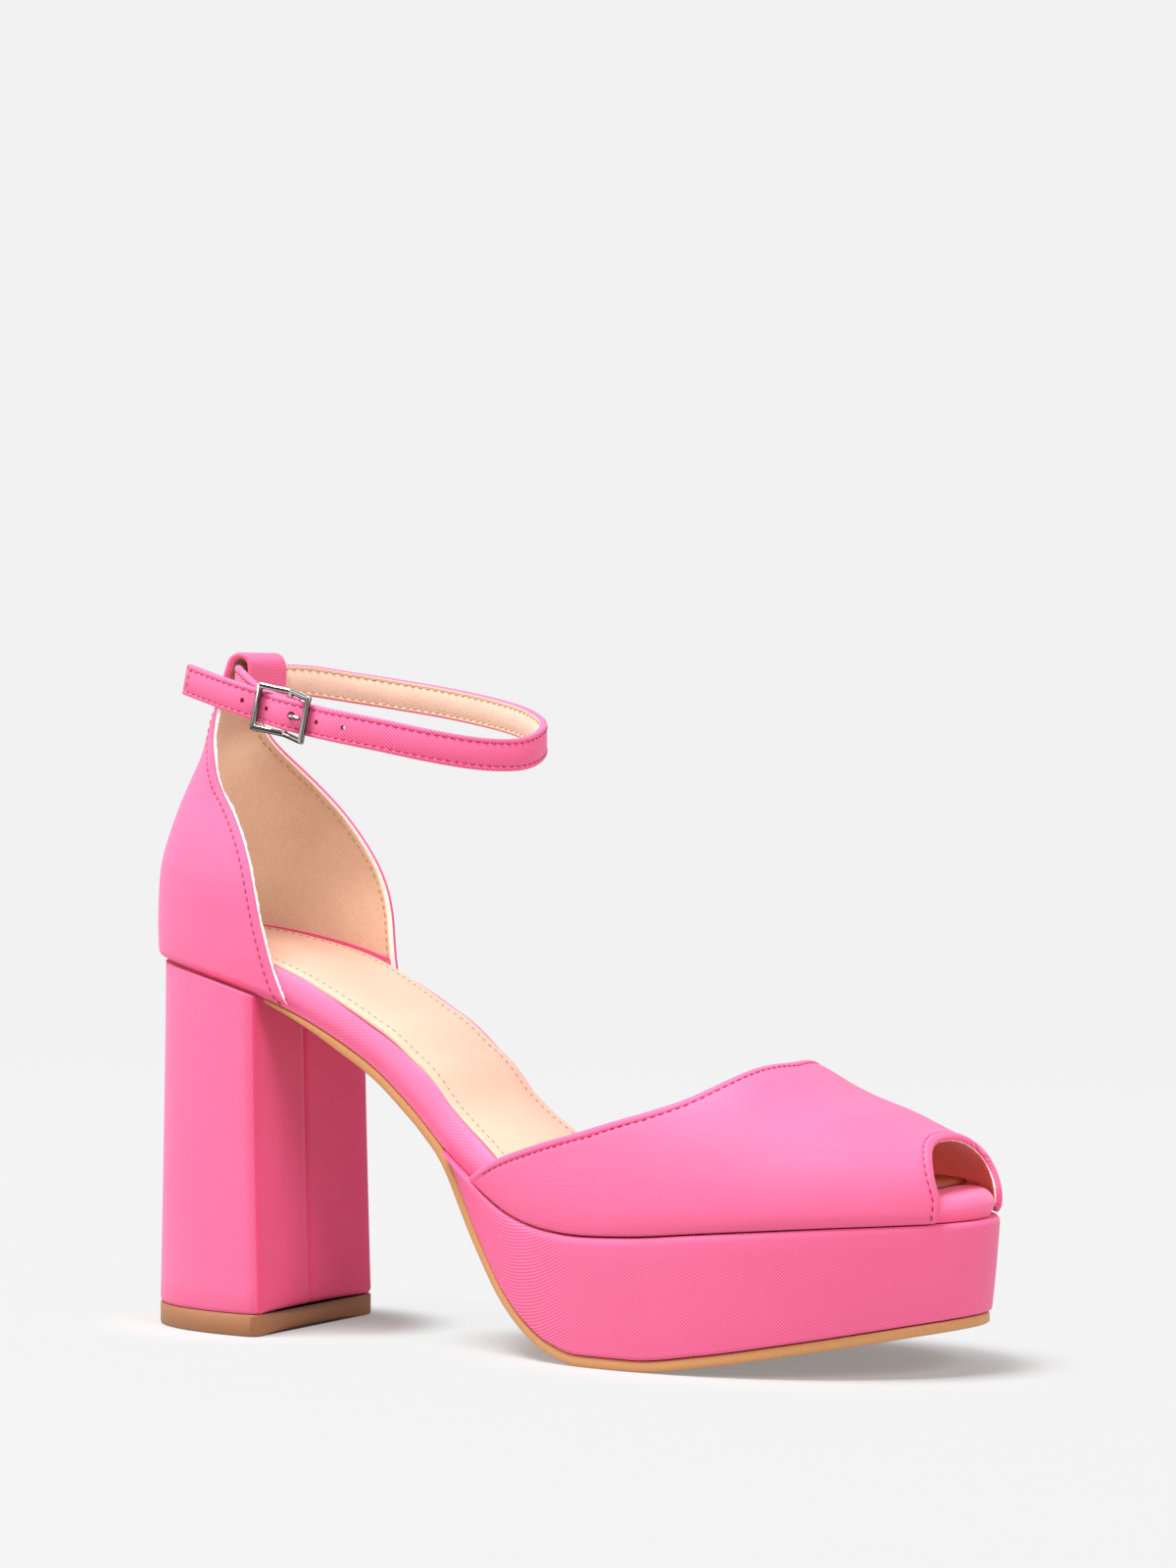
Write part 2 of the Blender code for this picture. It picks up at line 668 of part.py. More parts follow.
def quarter_point(up, around):
    """A point of the quarter's inner face. around runs from -1 at the outer front edge to 1."""
    side = -1 if around < 0 else 1
    back = QUARTER_CURVES["back"](up) * QUARTER_LENGTH
    front = QUARTER_CURVES["outer_front" if side < 0 else "inner_front"](up) * QUARTER_LENGTH
    x = back + (front - back) * around**2
    reach = (x - back) / (QUARTER_CURVES["cup"](up) * HEEL_CUP_LENGTH)
    y = side * full_width(x, side) * QUARTER_CURVES["half"](up) * rounded(reach, HEEL_FULLNESS)
    z = footbed_under(x) * (1 - up) + (SEAT_HEIGHT + QUARTER_HEIGHT) * up
    return (x, y, z)


def tab_line():
    """Inner face of the tab as (x, z) from the quarter's top: up, over and down again."""
    radius = TAB_LOOP_RADIUS
    centre = (TAB_LEAN + radius, TAB_LOOP_HEIGHT)
    line = [(TAB_LEAN * k / 4, TAB_LOOP_HEIGHT * k / 4) for k in (1, 2, 3)]
    for k in range(9):
        turn = math.pi * (1 - k / 8)
        line.append((centre[0] + radius * math.cos(turn), centre[1] + radius * math.sin(turn)))
    front = centre[0] + radius
    for back, down in ((0.03, 0.45), (0.12, 0.72), (0.32, 0.92), (0.62, 1.06)):
        line.append((front - TAB_LEAN * back, TAB_LOOP_HEIGHT * (1 - down)))
    return line


def make_quarter():
    """Heel cup, cut low in front, its back drawn up into the tab that folds over as a loop."""
    turns = [2 * c / QUARTER_COLUMN_COUNT - 1 for c in range(QUARTER_COLUMN_COUNT + 1)]
    rows = [[quarter_point(up, around) for around in turns] for up in QUARTER_ROWS]
    top = np.array(rows[-1])
    middle = top[QUARTER_COLUMN_COUNT // 2]
    narrow = TAB_WIDTH / (top[-1, 1] - top[0, 1])
    for x, z in tab_line():
        row = top.copy()
        row[:, 0] += x
        row[:, 1] *= narrow
        row[:, 2] = middle[2] + z
        rows.append([tuple(p) for p in row])
    base = np.array(rows)
    normal = grid_normals(base)
    base[0] -= normal[0] * HEM_TUCK * 0.6
    wall = np.full(base.shape[:2], UPPER_WALL)
    wall[0] = UPPER_WALL * 0.6
    return make_wall("quarter", base, wall, material("pink_twill", 0.6))


def tab_middle():
    """Middle of the tab's loop, where the strap passes."""
    top = quarter_point(1.0, 0.0)
    ahead = TAB_LEAN * 0.87 + TAB_LOOP_RADIUS
    return (top[0] + ahead, 0.0, top[2] + TAB_LOOP_HEIGHT / 2 + TAB_LOOP_RADIUS)


def strap_place(row):
    """A row of the strap's route as a point."""
    along, side, down = row
    start = tab_middle()
    return np.array((start[0] + along * LOOP_LENGTH, side * LOOP_HALF_WIDTH, start[2] - down * LOOP_DROP))


def unit(vector):
    """A vector of length 1."""
    return vector / np.linalg.norm(vector)


def buckle_axes():
    """Middle of the buckle's plane and its directions: along the strap to the tail, across it, and out."""
    middle = strap_place(BUCKLE_PLACE)
    along = unit(strap_place(TAIL[0]) - strap_place(STRAP[-1]))
    across = unit(np.array((0.0, 0.0, 1.0)) - along * along[2])
    out = np.cross(along, across)
    if out[1] > 0:
        out = -out
    return middle, along, across, out


def smooth_route(points, per_span):
    """Points along one smooth curve through the given ones."""
    ends = [2 * points[0] - points[1]] + list(points) + [2 * points[-1] - points[-2]]
    line = []
    for a, b, c, d in zip(ends[:-3], ends[1:-2], ends[2:-1], ends[3:]):
        for k in range(per_span):
            t = k / per_span
            bend = (2 * a - 5 * b + 4 * c - d) * t**2 + (3 * b - a - 3 * c + d) * t**3
            line.append(0.5 * (2 * b + (c - a) * t + bend))
    line.append(points[-1])
    return line


def strap_route():
    """The strap's centre line, drawn under the buckle's side bars and over its centre bar."""
    middle, along, across, out = buckle_axes()
    under_bar = BUCKLE_BAR / 2 + GAP + STRAP_THICK / 2
    over_centre = BUCKLE_SET_BACK - BUCKLE_BAR / 2 - GAP - STRAP_THICK / 2
    behind = BUCKLE_SET_BACK + BUCKLE_BAR / 2 + GAP + STRAP_THICK / 2
    side_bar = BUCKLE_LENGTH / 2 - BUCKLE_BAR / 2
    base = [
        middle - out * behind - along * BUCKLE_BAR,
        middle - out * behind + along * BUCKLE_BAR,
    ]
    inside = [strap_place(row) for row in STRAP[1:]]
    woven = [
        middle - out * under_bar - along * side_bar,
        middle - out * over_centre,
        middle - out * under_bar + along * side_bar,
    ]
    tail = [strap_place(row) for row in TAIL]
    return base + inside + woven + tail


def make_strap():
    """One flat strap with rounded edges, swept along its route, with the prong's hole through it."""
    line = smooth_route(strap_route(), 3)
    half = STRAP_WIDTH / 2
    thick = STRAP_THICK / 2
    bevel = STRAP_THICK * 0.32
    section = (
        (half, thick - bevel),
        (half - bevel, thick),
        (-half + bevel, thick),
        (-half, thick - bevel),
        (-half, -thick + bevel),
        (-half + bevel, -thick),
        (half - bevel, -thick),
        (half, -thick + bevel),
    )
    points = []
    for k, place in enumerate(line):
        ahead = line[min(k + 1, len(line) - 1)]
        behind = line[max(k - 1, 0)]
        along = unit(ahead - behind)
        across = unit(np.array((0.0, 0.0, 1.0)) - along * along[2])
        out = np.cross(along, across)
        points += [tuple(place + across * a + out * b) for a, b in section]
    size = len(section)
    faces = []
    for k in range(len(line) - 1):
        for i in range(size):
            n = (i + 1) % size
            faces.append((k * size + i, k * size + n, (k + 1) * size + n, (k + 1) * size + i))
    faces.append(tuple(range(size)))
    faces.append(tuple(range(len(points) - size, len(points))))
    strap = node("ankle_strap", points, faces, material("pink_twill", 0.6))
    strap_hole(strap)
    return strap


def prong_place():
    """How far from the centre bar, towards the side bar, the prong crosses the strap."""
    return BUCKLE_BAR / 2 + GAP + PRONG_HOLE_RADIUS + STRAP_THICK * 0.35


def strap_hole(strap):
    """Cuts the hole that the prong goes through."""
    middle, along, across, out = buckle_axes()
    cutter = bpy.data.objects.new("prong_hole_cutter", bpy.data.meshes.new("prong_hole_cutter"))
    shape = bmesh.new()
    radius = PRONG_HOLE_RADIUS
    depth = STRAP_THICK * 3
    bmesh.ops.create_cone(shape, cap_ends=True, segments=12, radius1=radius, radius2=radius, depth=depth)
    shape.to_mesh(cutter.data)
    shape.free()
    bpy.context.scene.collection.objects.link(cutter)
    cutter.rotation_mode = "QUATERNION"
    cutter.rotation_quaternion = Vector(out).to_track_quat("Z", "Y")
    over_centre = BUCKLE_SET_BACK - BUCKLE_BAR / 2 - GAP - STRAP_THICK / 2
    cutter.location = to_frame(middle - out * over_centre - along * prong_place())
    cutter.hide_render = True
    cutter.display_type = "WIRE"
    cut = strap.modifiers.new("prong_hole", "BOOLEAN")
    cut.operation = "DIFFERENCE"
    cut.object = cutter


def make_buckle_frame():
    """Three bars between two rails, pressed so that the centre bar lies behind the side bars."""
    middle, along, across, out = buckle_axes()
    half_bar = BUCKLE_BAR / 2
    end = BUCKLE_LENGTH / 2
    rail = STRAP_WIDTH / 2 + BUCKLE_SIDE_ROOM
    lengths = (-end, -end + BUCKLE_BAR, -half_bar, half_bar, end - BUCKLE_BAR, end)
    depths = (0.0, 0.0, BUCKLE_SET_BACK, BUCKLE_SET_BACK, 0.0, 0.0)
    heights = (-rail - BUCKLE_BAR, -rail, rail, rail + BUCKLE_BAR)
    points = []
    for face in (half_bar, -half_bar):
        for length, depth in zip(lengths, depths):
            for height in heights:
                points.append(tuple(middle + along * length + across * height + out * (face - depth)))
    rows = len(heights)
    size = len(lengths) * rows
    windows = ((1, 1), (3, 1))
    cells = [(i, j) for i in range(len(lengths) - 1) for j in range(rows - 1) if (i, j) not in windows]
    faces = []
    for i, j in cells:
        quad = [i * rows + j, (i + 1) * rows + j, (i + 1) * rows + j + 1, i * rows + j + 1]
        faces.append(quad)
        faces.append([q + size for q in quad[::-1]])
        for side, (di, dj) in enumerate(((0, -1), (1, 0), (0, 1), (-1, 0))):
            if (i + di, j + dj) not in cells:
                a, b = quad[side], quad[(side + 1) % 4]
                faces.append((a, a + size, b + size, b))
    return node("buckle_frame", points, faces, material("nickel", 0.2, 1.0))


def make_buckle_prong():
    """Bent pin from beside the centre bar, out through the strap's hole, to the side bar."""
    middle, along, across, out = buckle_axes()
    foot = BUCKLE_BAR / 2 + GAP + PRONG_RADIUS
    hole = prong_place()
    tip = BUCKLE_LENGTH / 2 - BUCKLE_BAR - GAP - PRONG_RADIUS * 0.2
    line = [
        middle - along * foot - out * (BUCKLE_SET_BACK + BUCKLE_BAR / 2),
        middle - along * foot - out * BUCKLE_SET_BACK,
        middle - along * hole - out * BUCKLE_SET_BACK * 0.68,
        middle - along * hole - out * BUCKLE_SET_BACK * 0.12,
        middle - along * (hole + PRONG_RADIUS * 1.4) + out * PRONG_RADIUS * 1.2,
        middle - along * tip + out * PRONG_RADIUS * 1.2,
    ]
    sides = 8
    points = []
    for k, place in enumerate(line):
        way = unit(line[min(k + 1, len(line) - 1)] - line[max(k - 1, 0)])
        other = np.cross(way, across)
        for i in range(sides):
            turn = 2 * math.pi * i / sides
            points.append(tuple(place + PRONG_RADIUS * (across * math.cos(turn) + other * math.sin(turn))))
    faces = []
    for k in range(len(line) - 1):
        for i in range(sides):
            n = (i + 1) % sides
            faces.append((k * sides + i, k * sides + n, (k + 1) * sides + n, (k + 1) * sides + i))
    faces.append(tuple(range(sides)))
    faces.append(tuple(range(len(points) - sides, len(points))))
    return node("buckle_prong", points, faces, material("nickel", 0.2, 1.0))


def main():
    """Builds the shoe."""
    clear_scene()
    make_outsole()
    make_platform()
    make_footbed()
    make_insock()
    make_heel()
    make_vamp()
    make_quarter()
    make_strap()
    make_buckle_frame()
    make_buckle_prong()


main()
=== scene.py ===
"""Looks of the peep toe pump: the right shoe of a pair, in pink cotton twill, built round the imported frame."""

import math

import bmesh
import bpy
import numpy as np
from bpy.props import FloatProperty, FloatVectorProperty, PointerProperty
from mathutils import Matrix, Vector


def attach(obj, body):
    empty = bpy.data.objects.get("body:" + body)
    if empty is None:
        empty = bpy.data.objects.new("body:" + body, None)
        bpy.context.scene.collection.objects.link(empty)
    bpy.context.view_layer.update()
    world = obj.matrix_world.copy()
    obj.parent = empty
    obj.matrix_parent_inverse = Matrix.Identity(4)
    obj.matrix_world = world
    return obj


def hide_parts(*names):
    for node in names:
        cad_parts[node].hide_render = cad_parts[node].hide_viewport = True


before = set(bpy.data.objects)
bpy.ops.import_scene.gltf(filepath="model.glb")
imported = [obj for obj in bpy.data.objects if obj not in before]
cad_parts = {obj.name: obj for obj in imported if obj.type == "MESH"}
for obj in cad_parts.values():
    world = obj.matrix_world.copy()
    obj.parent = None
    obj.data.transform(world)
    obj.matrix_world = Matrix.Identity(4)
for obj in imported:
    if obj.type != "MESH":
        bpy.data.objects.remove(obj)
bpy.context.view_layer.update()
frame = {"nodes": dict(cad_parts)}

bl_info = {
    "name": "Peep toe pump",
    "version": (1, 0, 0),
    "blender": (4, 5, 0),
    "location": "View3D > Sidebar > Pump",
    "description": "Upper, sole, strap and finishes of a peep toe pump, and the studio that it stands in",
    "category": "Object",
}

BODY = "root"

# Last and bottom, as in the frame
SHOE_LENGTH = 0.228
SEAT_WIDTH = 0.051
WAIST_WIDTH = 0.044
BALL_WIDTH = 0.0775
SEAT_HEIGHT = 0.0935
PLATFORM_HEIGHT = 0.0315
TOE_SPRING = 0.0125
HEEL_CUP_LENGTH = 0.050
TOE_ROUND_LENGTH = 0.065
HEEL_FULLNESS = 2.4
TOE_FULLNESS = 1.95
FOOTBED_THICK = 0.0078
FOOTBED_TOE_THICK = 0.0058
FOOTBED_EDGE_ROUND = 0.0018
INSOCK_THICK = 0.0010
INSOCK_INSET = 0.0028
INSOCK_TOE_INSET = 0.0150
PLATFORM_PROUD = 0.0012
PLATFORM_TAPER = 0.0018
PLATFORM_REAR = 0.0950
OUTSOLE_THICK = 0.0026
OUTSOLE_INSET = 0.0012
ARCH_BLEND = 0.0030
TREAD_CENTRE = 0.640

# Heel
HEEL_DEPTH = 0.0396
HEEL_HALF_WIDTH = 0.0284
HEEL_BACK_INSET = 0.0009
HEEL_FLARE = 0.0018
HEEL_BREAST_HOLLOW = 0.0020
TOP_PIECE_THICK = 0.0055

# Upper
UPPER_WALL = 0.0016
HEM_TUCK = 0.0010
VAMP_CREST = 0.0345
VAMP_REAR = 0.1030
VAMP_PEAK = 0.1762
VAMP_BULGE = 0.0004
VAMP_SIDE_FULLNESS = 2.6
VAMP_TOP_FULLNESS = 2.1
TOE_OPENING_TOP = 0.2168
TOE_OPENING_FOOT = 0.2220
TOE_OPENING_SKEW = 0.0020
QUARTER_HEIGHT = 0.0635
QUARTER_LENGTH = 0.0500
TAB_WIDTH = 0.0165
TAB_LOOP_RADIUS = 0.0020
TAB_LOOP_HEIGHT = 0.0106
TAB_LEAN = 0.0042

# Strap and buckle
STRAP_WIDTH = 0.0080
STRAP_THICK = 0.0018
LOOP_LENGTH = 0.0857
LOOP_HALF_WIDTH = 0.0290
LOOP_DROP = 0.0190
BUCKLE_LENGTH = 0.0170
BUCKLE_BAR = 0.0014
BUCKLE_SIDE_ROOM = 0.0007
BUCKLE_SET_BACK = 0.0028
PRONG_RADIUS = 0.0006
PRONG_HOLE_RADIUS = 0.0013
GAP = 0.0003

# Only in the looks: a rim round the insock, the waist eased down outside, seams, hems and holes
FOOTBED_RIM = 0.0006
RIM_FADE_START = 0.1350
RIM_FADE_LENGTH = 0.0300
WAIST_DROP = 0.0014
INSOCK_SHIFT = 0.0018
INSOCK_STITCH_MARGIN = 0.0030
SKIVED_SHARE = 0.35
SKIVED_LENGTH = 0.0220
HEEL_CORNER_ROUND = 0.0026
HEEL_SEAM_WIDTH = 0.0005
HEEL_SEAM_DEPTH = 0.0004
STRAP_MARGIN = 0.0012
HOLE_RADIUS = 0.00065
PRONG_HOLE_SCALE = 1.6
HOLE_SPACING = 0.0081
SLAB_CREASE = 60

# Where the bottom's pieces and the quarter have edges. WRAP_ROW is the row that follows the insock
STATION_STEP = 0.0020
WRAP_ROW = 0.12
QUARTER_ROWS = (
    0.013, 0.03, 0.05, 0.085, WRAP_ROW, 0.17, 0.21, 0.27, 0.33, 0.39, 0.45, 0.51, 0.57, 0.63, 0.69, 0.75, 0.81, 0.87,
    0.93, 0.97, 1.0,
)

# The footbed's side from below: (share of the tuck or of the edge's round, share of the height, share of the rim)
FOOTBED_HEM = ((1.0, 0.00, 0.0), (0.75, 0.14, 0.0), (0.35, 0.24, 0.0), (0.12, 0.36, 0.05), (0.0, 0.46, 0.15))
FOOTBED_EDGE = (
    (0.06, 0.56, 0.30), (0.17, 0.66, 0.48), (0.34, 0.76, 0.66), (0.55, 0.85, 0.82), (0.82, 0.93, 0.94),
    (1.10, 0.98, 1.0),
)
# The platform's sides: (share of the taper, more inset, share of the height)
PLATFORM_PROFILE = (
    (1.0, 0.0005, 0.0), (1.0, 0.0001, 0.012), (1.0, 0.0, 0.03), (0.7, 0.0, 0.25), (0.4, 0.0, 0.5), (0.1, 0.0, 0.8),
    (0.0, 0.0, 0.93), (0.0, 0.0001, 0.975), (0.0, 0.0006, 1.0),
)
# A sewn edge: (share of the stitches' margin, how far the cloth swells)
HEM = (
    (0.0, 0.0), (0.3, 0.00016), (0.62, 0.00016), (0.85, 0.0), (1.0, -0.00022), (1.15, -0.00008), (1.5, 0.0),
    (2.2, 0.0),
)

# Shares of the last, its crest, the vamp's edges, the quarter and the strap's route, as in the frame
LAST_COLUMNS = ("at", "rise", "spring", "lift", "tread", "thin", "seat", "outer", "inner")
LAST = (
    (0.000, 1.000, 0.00, 7.20, 0.00, 0.00, 1.00, 0.00, 0.00),
    (0.053, 0.972, 0.00, 6.40, 0.00, 0.00, 1.00, 0.00, 0.00),
    (0.114, 0.926, 0.00, 5.60, 0.00, 0.00, 1.00, 0.00, 0.00),
    (0.180, 0.860, 0.00, 4.75, 0.00, 0.00, 1.00, 0.00, 0.00),
    (0.246, 0.763, 0.00, 3.75, 0.00, 0.00, 0.55, 0.00, 0.00),
    (0.316, 0.615, 0.00, 2.75, 0.00, 0.00, 0.05, 0.03, 0.00),
    (0.368, 0.448, 0.00, 2.00, 0.00, 0.00, 0.00, 0.08, 0.00),
    (0.412, 0.284, 0.00, 1.35, 0.00, 0.00, 0.00, 0.16, 0.00),
    (0.452, 0.172, 0.00, 0.80, 0.00, 0.00, 0.00, 0.27, 0.02),
    (0.491, 0.082, 0.00, 0.41, 0.00, 0.00, 0.00, 0.44, 0.12),
    (0.526, 0.036, 0.00, 0.20, 0.00, 0.00, 0.00, 0.62, 0.26),
    (0.561, 0.012, 0.00, 0.07, 0.00, 0.00, 0.00, 0.78, 0.43),
    (0.605, 0.000, 0.00, 0.00, 0.00, 0.00, 0.00, 0.93, 0.64),
    (0.675, 0.000, 0.05, 0.00, 0.00, 0.05, 0.00, 1.04, 0.90),
    (0.754, 0.000, 0.18, 0.00, 0.17, 0.22, 0.00, 1.06, 1.05),
    (0.833, 0.000, 0.29, 0.00, 0.41, 0.50, 0.00, 1.04, 1.12),
    (0.904, 0.000, 0.365, 0.00, 0.635, 0.78, 0.00, 0.99, 1.15),
    (0.956, 0.000, 0.395, 0.00, 0.80, 0.93, 0.00, 0.96, 1.13),
    (1.000, 0.000, 0.42, 0.00, 0.92, 1.00, 0.00, 0.95, 1.10),
)
CREST_COLUMNS = ("at", "crest")
CREST = (
    (0.44, 1.95),
    (0.55, 1.72),
    (0.66, 1.40),
    (0.720, 1.18),
    (0.773, 1.04),
    (0.805, 0.91),
    (0.835, 0.812),
    (0.882, 0.695),
    (0.940, 0.54),
    (0.980, 0.47),
)
EDGE_COLUMNS = ("across", "back", "ahead")
VAMP_EDGES = (
    (0.00, 0.000, 0.00),
    (0.15, 0.024, 0.08),
    (0.30, 0.062, 0.26),
    (0.45, 0.142, 0.50),
    (0.60, 0.300, 0.72),
    (0.72, 0.515, 0.90),
    (0.81, 0.710, 1.00),
    (0.91, 0.890, 1.00),
    (1.00, 1.000, 0.90),
)
QUARTER_COLUMNS = ("up", "back", "half", "cup", "outer_front", "inner_front")
QUARTER = (
    (0.00, 0.000, 1.00, 1.00, 0.99, 1.02),
    (0.05, 0.000, 1.00, 1.00, 0.94, 1.00),
    (0.11, -0.004, 1.01, 1.00, 0.90, 0.98),
    (0.19, -0.002, 1.01, 1.00, 0.86, 0.965),
    (0.28, 0.004, 1.01, 0.98, 0.82, 0.955),
    (0.36, 0.014, 1.00, 0.94, 0.79, 0.93),
    (0.44, 0.042, 0.96, 0.86, 0.750, 0.885),
    (0.52, 0.078, 0.90, 0.76, 0.693, 0.815),
    (0.62, 0.130, 0.80, 0.62, 0.595, 0.712),
    (0.72, 0.188, 0.67, 0.46, 0.457, 0.585),
    (0.80, 0.233, 0.52, 0.32, 0.385, 0.49),
    (0.90, 0.272, 0.38, 0.14, 0.340, 0.39),
    (1.00, 0.325, 0.315, 0.06, 0.352, 0.354),
)
STRAP = (
    (0.330, -0.835, 0.465),
    (0.270, -0.790, 0.408),
    (0.205, -0.725, 0.325),
    (0.135, -0.610, 0.208),
    (0.070, -0.450, 0.092),
    (0.014, -0.270, 0.012),
    (-0.004, 0.000, 0.000),
    (0.014, 0.270, -0.005),
    (0.085, 0.530, 0.005),
    (0.180, 0.770, 0.088),
    (0.300, 0.920, 0.179),
    (0.470, 1.000, 0.303),
    (0.640, 0.945, 0.438),
    (0.780, 0.800, 0.570),
    (0.885, 0.560, 0.702),
    (0.947, 0.290, 0.810),
    (0.971, 0.000, 0.925),
    (0.957, -0.250, 0.987),
    (0.895, -0.530, 0.972),
    (0.790, -0.780, 0.874),
    (0.650, -0.930, 0.735),
    (0.510, -0.995, 0.615),
)
TAIL = (
    (0.110, -0.880, 0.200),
    (-0.060, -0.750, -0.005),
)
BUCKLE_PLACE = (0.318, -0.985, 0.445)

# Camera, in the heel's measure
CAMERA_PLACE = (0.7007, -1.0382, 0.1544)
CAMERA_YAW = math.radians(29.195)
CAMERA_PITCH = math.radians(0.772)
CAMERA_LENS = 110.92

# Studio, round the shoe's origin: lights as (name, place, size, power), and the floor's sweep
SOFTBOXES = (
    ("top_softbox", (-0.30, -0.50, 1.80), 0.8, 54.0),
    ("side_softbox", (-1.50, -0.90, 0.80), 0.9, 14.0),
    ("front_softbox", (1.55, -0.75, 1.25), 0.8, 20.0),
)
FLOOR_HALF_WIDTH = 3.0
FLOOR_AHEAD = 2.6
FLOOR_BACK = 2.4
FLOOR_BEND = 1.2
FLOOR_RISE = 2.2
# Where the floor takes shadows: under the forefoot and under the heel, as (middle, reach)
SHADOW_ELLIPSES = (((0.022, 0.0, 0.0), (0.078, 0.052, 1.0)), ((-0.118, 0.0, 0.0), (0.044, 0.040, 1.0)))
# Painted reflection on the nickel: its colours, by how far a face turns to the top lamp
NICKEL_PAINTED_REFLECTION = (
    (0.0, "#3A3836"), (0.22, "#2A2928"), (0.34, "#DAD8D2"), (0.50, "#8E8B86"), (0.62, "#393735"), (0.74, "#C9C7C0"),
    (0.88, "#FFFFFF"), (1.0, "#B9B7B0"),
)


def linear(code):
    """An sRGB hex colour as linear red, green and blue."""
    parts = [int(code[k : k + 2], 16) / 255 for k in (1, 3, 5)]
    return tuple(c / 12.92 if c <= 0.04045 else ((c + 0.055) / 1.055) ** 2.4 for c in parts)


def colour_setting(name, description, code):
    """A colour of the shoe, shown in the panel."""
    return FloatVectorProperty(name=name, description=description, subtype="COLOR", size=3, default=linear(code))


def length_setting(name, description, default, least):
    """A length of the shoe, shown in the panel."""
    return FloatProperty(name=name, description=description, unit="LENGTH", default=default, min=least)


class PumpColours(bpy.types.PropertyGroup):
    """Colours of the cloth, linings, thread, sole and floor."""

    twill: colour_setting("Twill", "Cotton twill of the upper, platform and heel", "#FA719D")
    twill_valley: colour_setting("Twill valleys", "Shade between the twill's ribs", "#DB497A")
    thread: colour_setting("Thread", "Sewing thread on the twill", "#AE1F4F")
    lining: colour_setting("Lining", "Soft lining of the quarter", "#E8C6A8")
    # The vamp lining's colour is painted shade and painted pink bounce light: darker and redder than the lining, for
    # the dim inside of the toe
    vamp_lining_painted_shade: colour_setting("Vamp lining", "Lining inside the toe, warmed by the cloth round it", "#DC5442")
    strap_lining: colour_setting("Strap lining", "Lining of the strap", "#E3BCA6")
    raw_edge: colour_setting("Raw edge", "Cut edge of the lining", "#FFFAEE")
    insock: colour_setting("Insock", "Pale sheet under the foot", "#E4B49E")
    sole: colour_setting("Sole", "Tan sole unit", "#CC905B")
    heel_lift: colour_setting("Heel lift", "Darker tan wear piece under the heel", "#9C6640")
    floor: colour_setting("Floor", "Pale studio floor", "#B2B2B2")


class PumpSizes(bpy.types.PropertyGroup):
    """Sizes of the cloth's weave and the sewing."""

    twill_pitch: length_setting("Twill pitch", "Distance between the twill's ribs", 0.00066, 0.0002)
    stitch_pitch: length_setting("Stitch pitch", "Distance from one stitch to the next", 0.0021, 0.0008)
    stitch_length: length_setting("Stitch length", "Length of a stitch that shows", 0.0015, 0.0004)
    stitch_width: length_setting("Stitch width", "Thickness of the thread", 0.00044, 0.0001)
    stitch_margin: length_setting("Stitch margin", "Distance from an edge to its stitches", 0.0016, 0.0005)


# Last: the same curves as the frame's solids


def column(table, names, wanted):
    """One named column of a table."""
    place = names.index(wanted)
    return np.array([row[place] for row in table], float)


def curve_through(at, values):
    """A smooth function through the points, which never swings past them."""
    step = np.diff(at)
    rate = np.diff(values) / step
    slope = np.concatenate(([rate[0]], np.zeros(len(at) - 2), [rate[-1]]))
    for i in range(1, len(at) - 1):
        if rate[i - 1] * rate[i] > 0:
            before = 2 * step[i] + step[i - 1]
            after = step[i] + 2 * step[i - 1]
            slope[i] = (before + after) / (before / rate[i - 1] + after / rate[i])

    def value(x):
        i = int(np.clip(np.searchsorted(at, x) - 1, 0, len(at) - 2))
        t = (min(max(x, at[0]), at[-1]) - at[i]) / step[i]
        rising = t * t * (3 - 2 * t)
        bend = step[i] * (slope[i] * t * (1 - t) ** 2 - slope[i + 1] * t * t * (1 - t))
        return float(values[i] * (1 - rising) + values[i + 1] * rising + bend)

    return value


def last_curve(wanted):
    """A column of LAST as a function of the distance from the heel."""
    return curve_through(column(LAST, LAST_COLUMNS, "at") * SHOE_LENGTH, column(LAST, LAST_COLUMNS, wanted))


RISE = last_curve("rise")
SPRING = last_curve("spring")
LIFT = last_curve("lift")
TREAD = last_curve("tread")
THIN = last_curve("thin")
SEAT = last_curve("seat")
SIDE = {-1: last_curve("outer"), 1: last_curve("inner")}
CREST_AT = curve_through(column(CREST, CREST_COLUMNS, "at") * SHOE_LENGTH, column(CREST, CREST_COLUMNS, "crest"))
QUARTER_CURVES = {
    name: curve_through(column(QUARTER, QUARTER_COLUMNS, "up"), column(QUARTER, QUARTER_COLUMNS, name))
    for name in QUARTER_COLUMNS[1:]
}


def rounded(share, fullness):
    """Width of a rounded end, from 0 at its tip to 1 where it is full."""
    inside = 1 - min(max(share, 0.0), 1.0)
    return (1 - inside**fullness) ** (1 / fullness)


def full_width(x, side):
    """Half width of the footbed before its ends are rounded. side is -1 outer, 1 inner."""
    seat = SEAT(x) * (SEAT_WIDTH - WAIST_WIDTH) / 2
    ball = SIDE[side](x) * (BALL_WIDTH - WAIST_WIDTH) / 2
    return WAIST_WIDTH / 2 + seat + ball


def half_width(x, side):
    """Half width of the footbed at a distance from the heel."""
    heel = rounded(x / HEEL_CUP_LENGTH, HEEL_FULLNESS)
    toe = rounded((SHOE_LENGTH - x) / TOE_ROUND_LENGTH, TOE_FULLNESS)
    return full_width(x, side) * heel * toe


def footbed_under(x):
    """Height of the footbed's underside."""
    return PLATFORM_HEIGHT + RISE(x) * (SEAT_HEIGHT - PLATFORM_HEIGHT) + SPRING(x) * TOE_SPRING


def steepness(height, x):
    """Length along a sloping line for each unit across it."""
    probe = 0.001
    return math.hypot(1, (height(x + probe) - height(x - probe)) / (2 * probe))


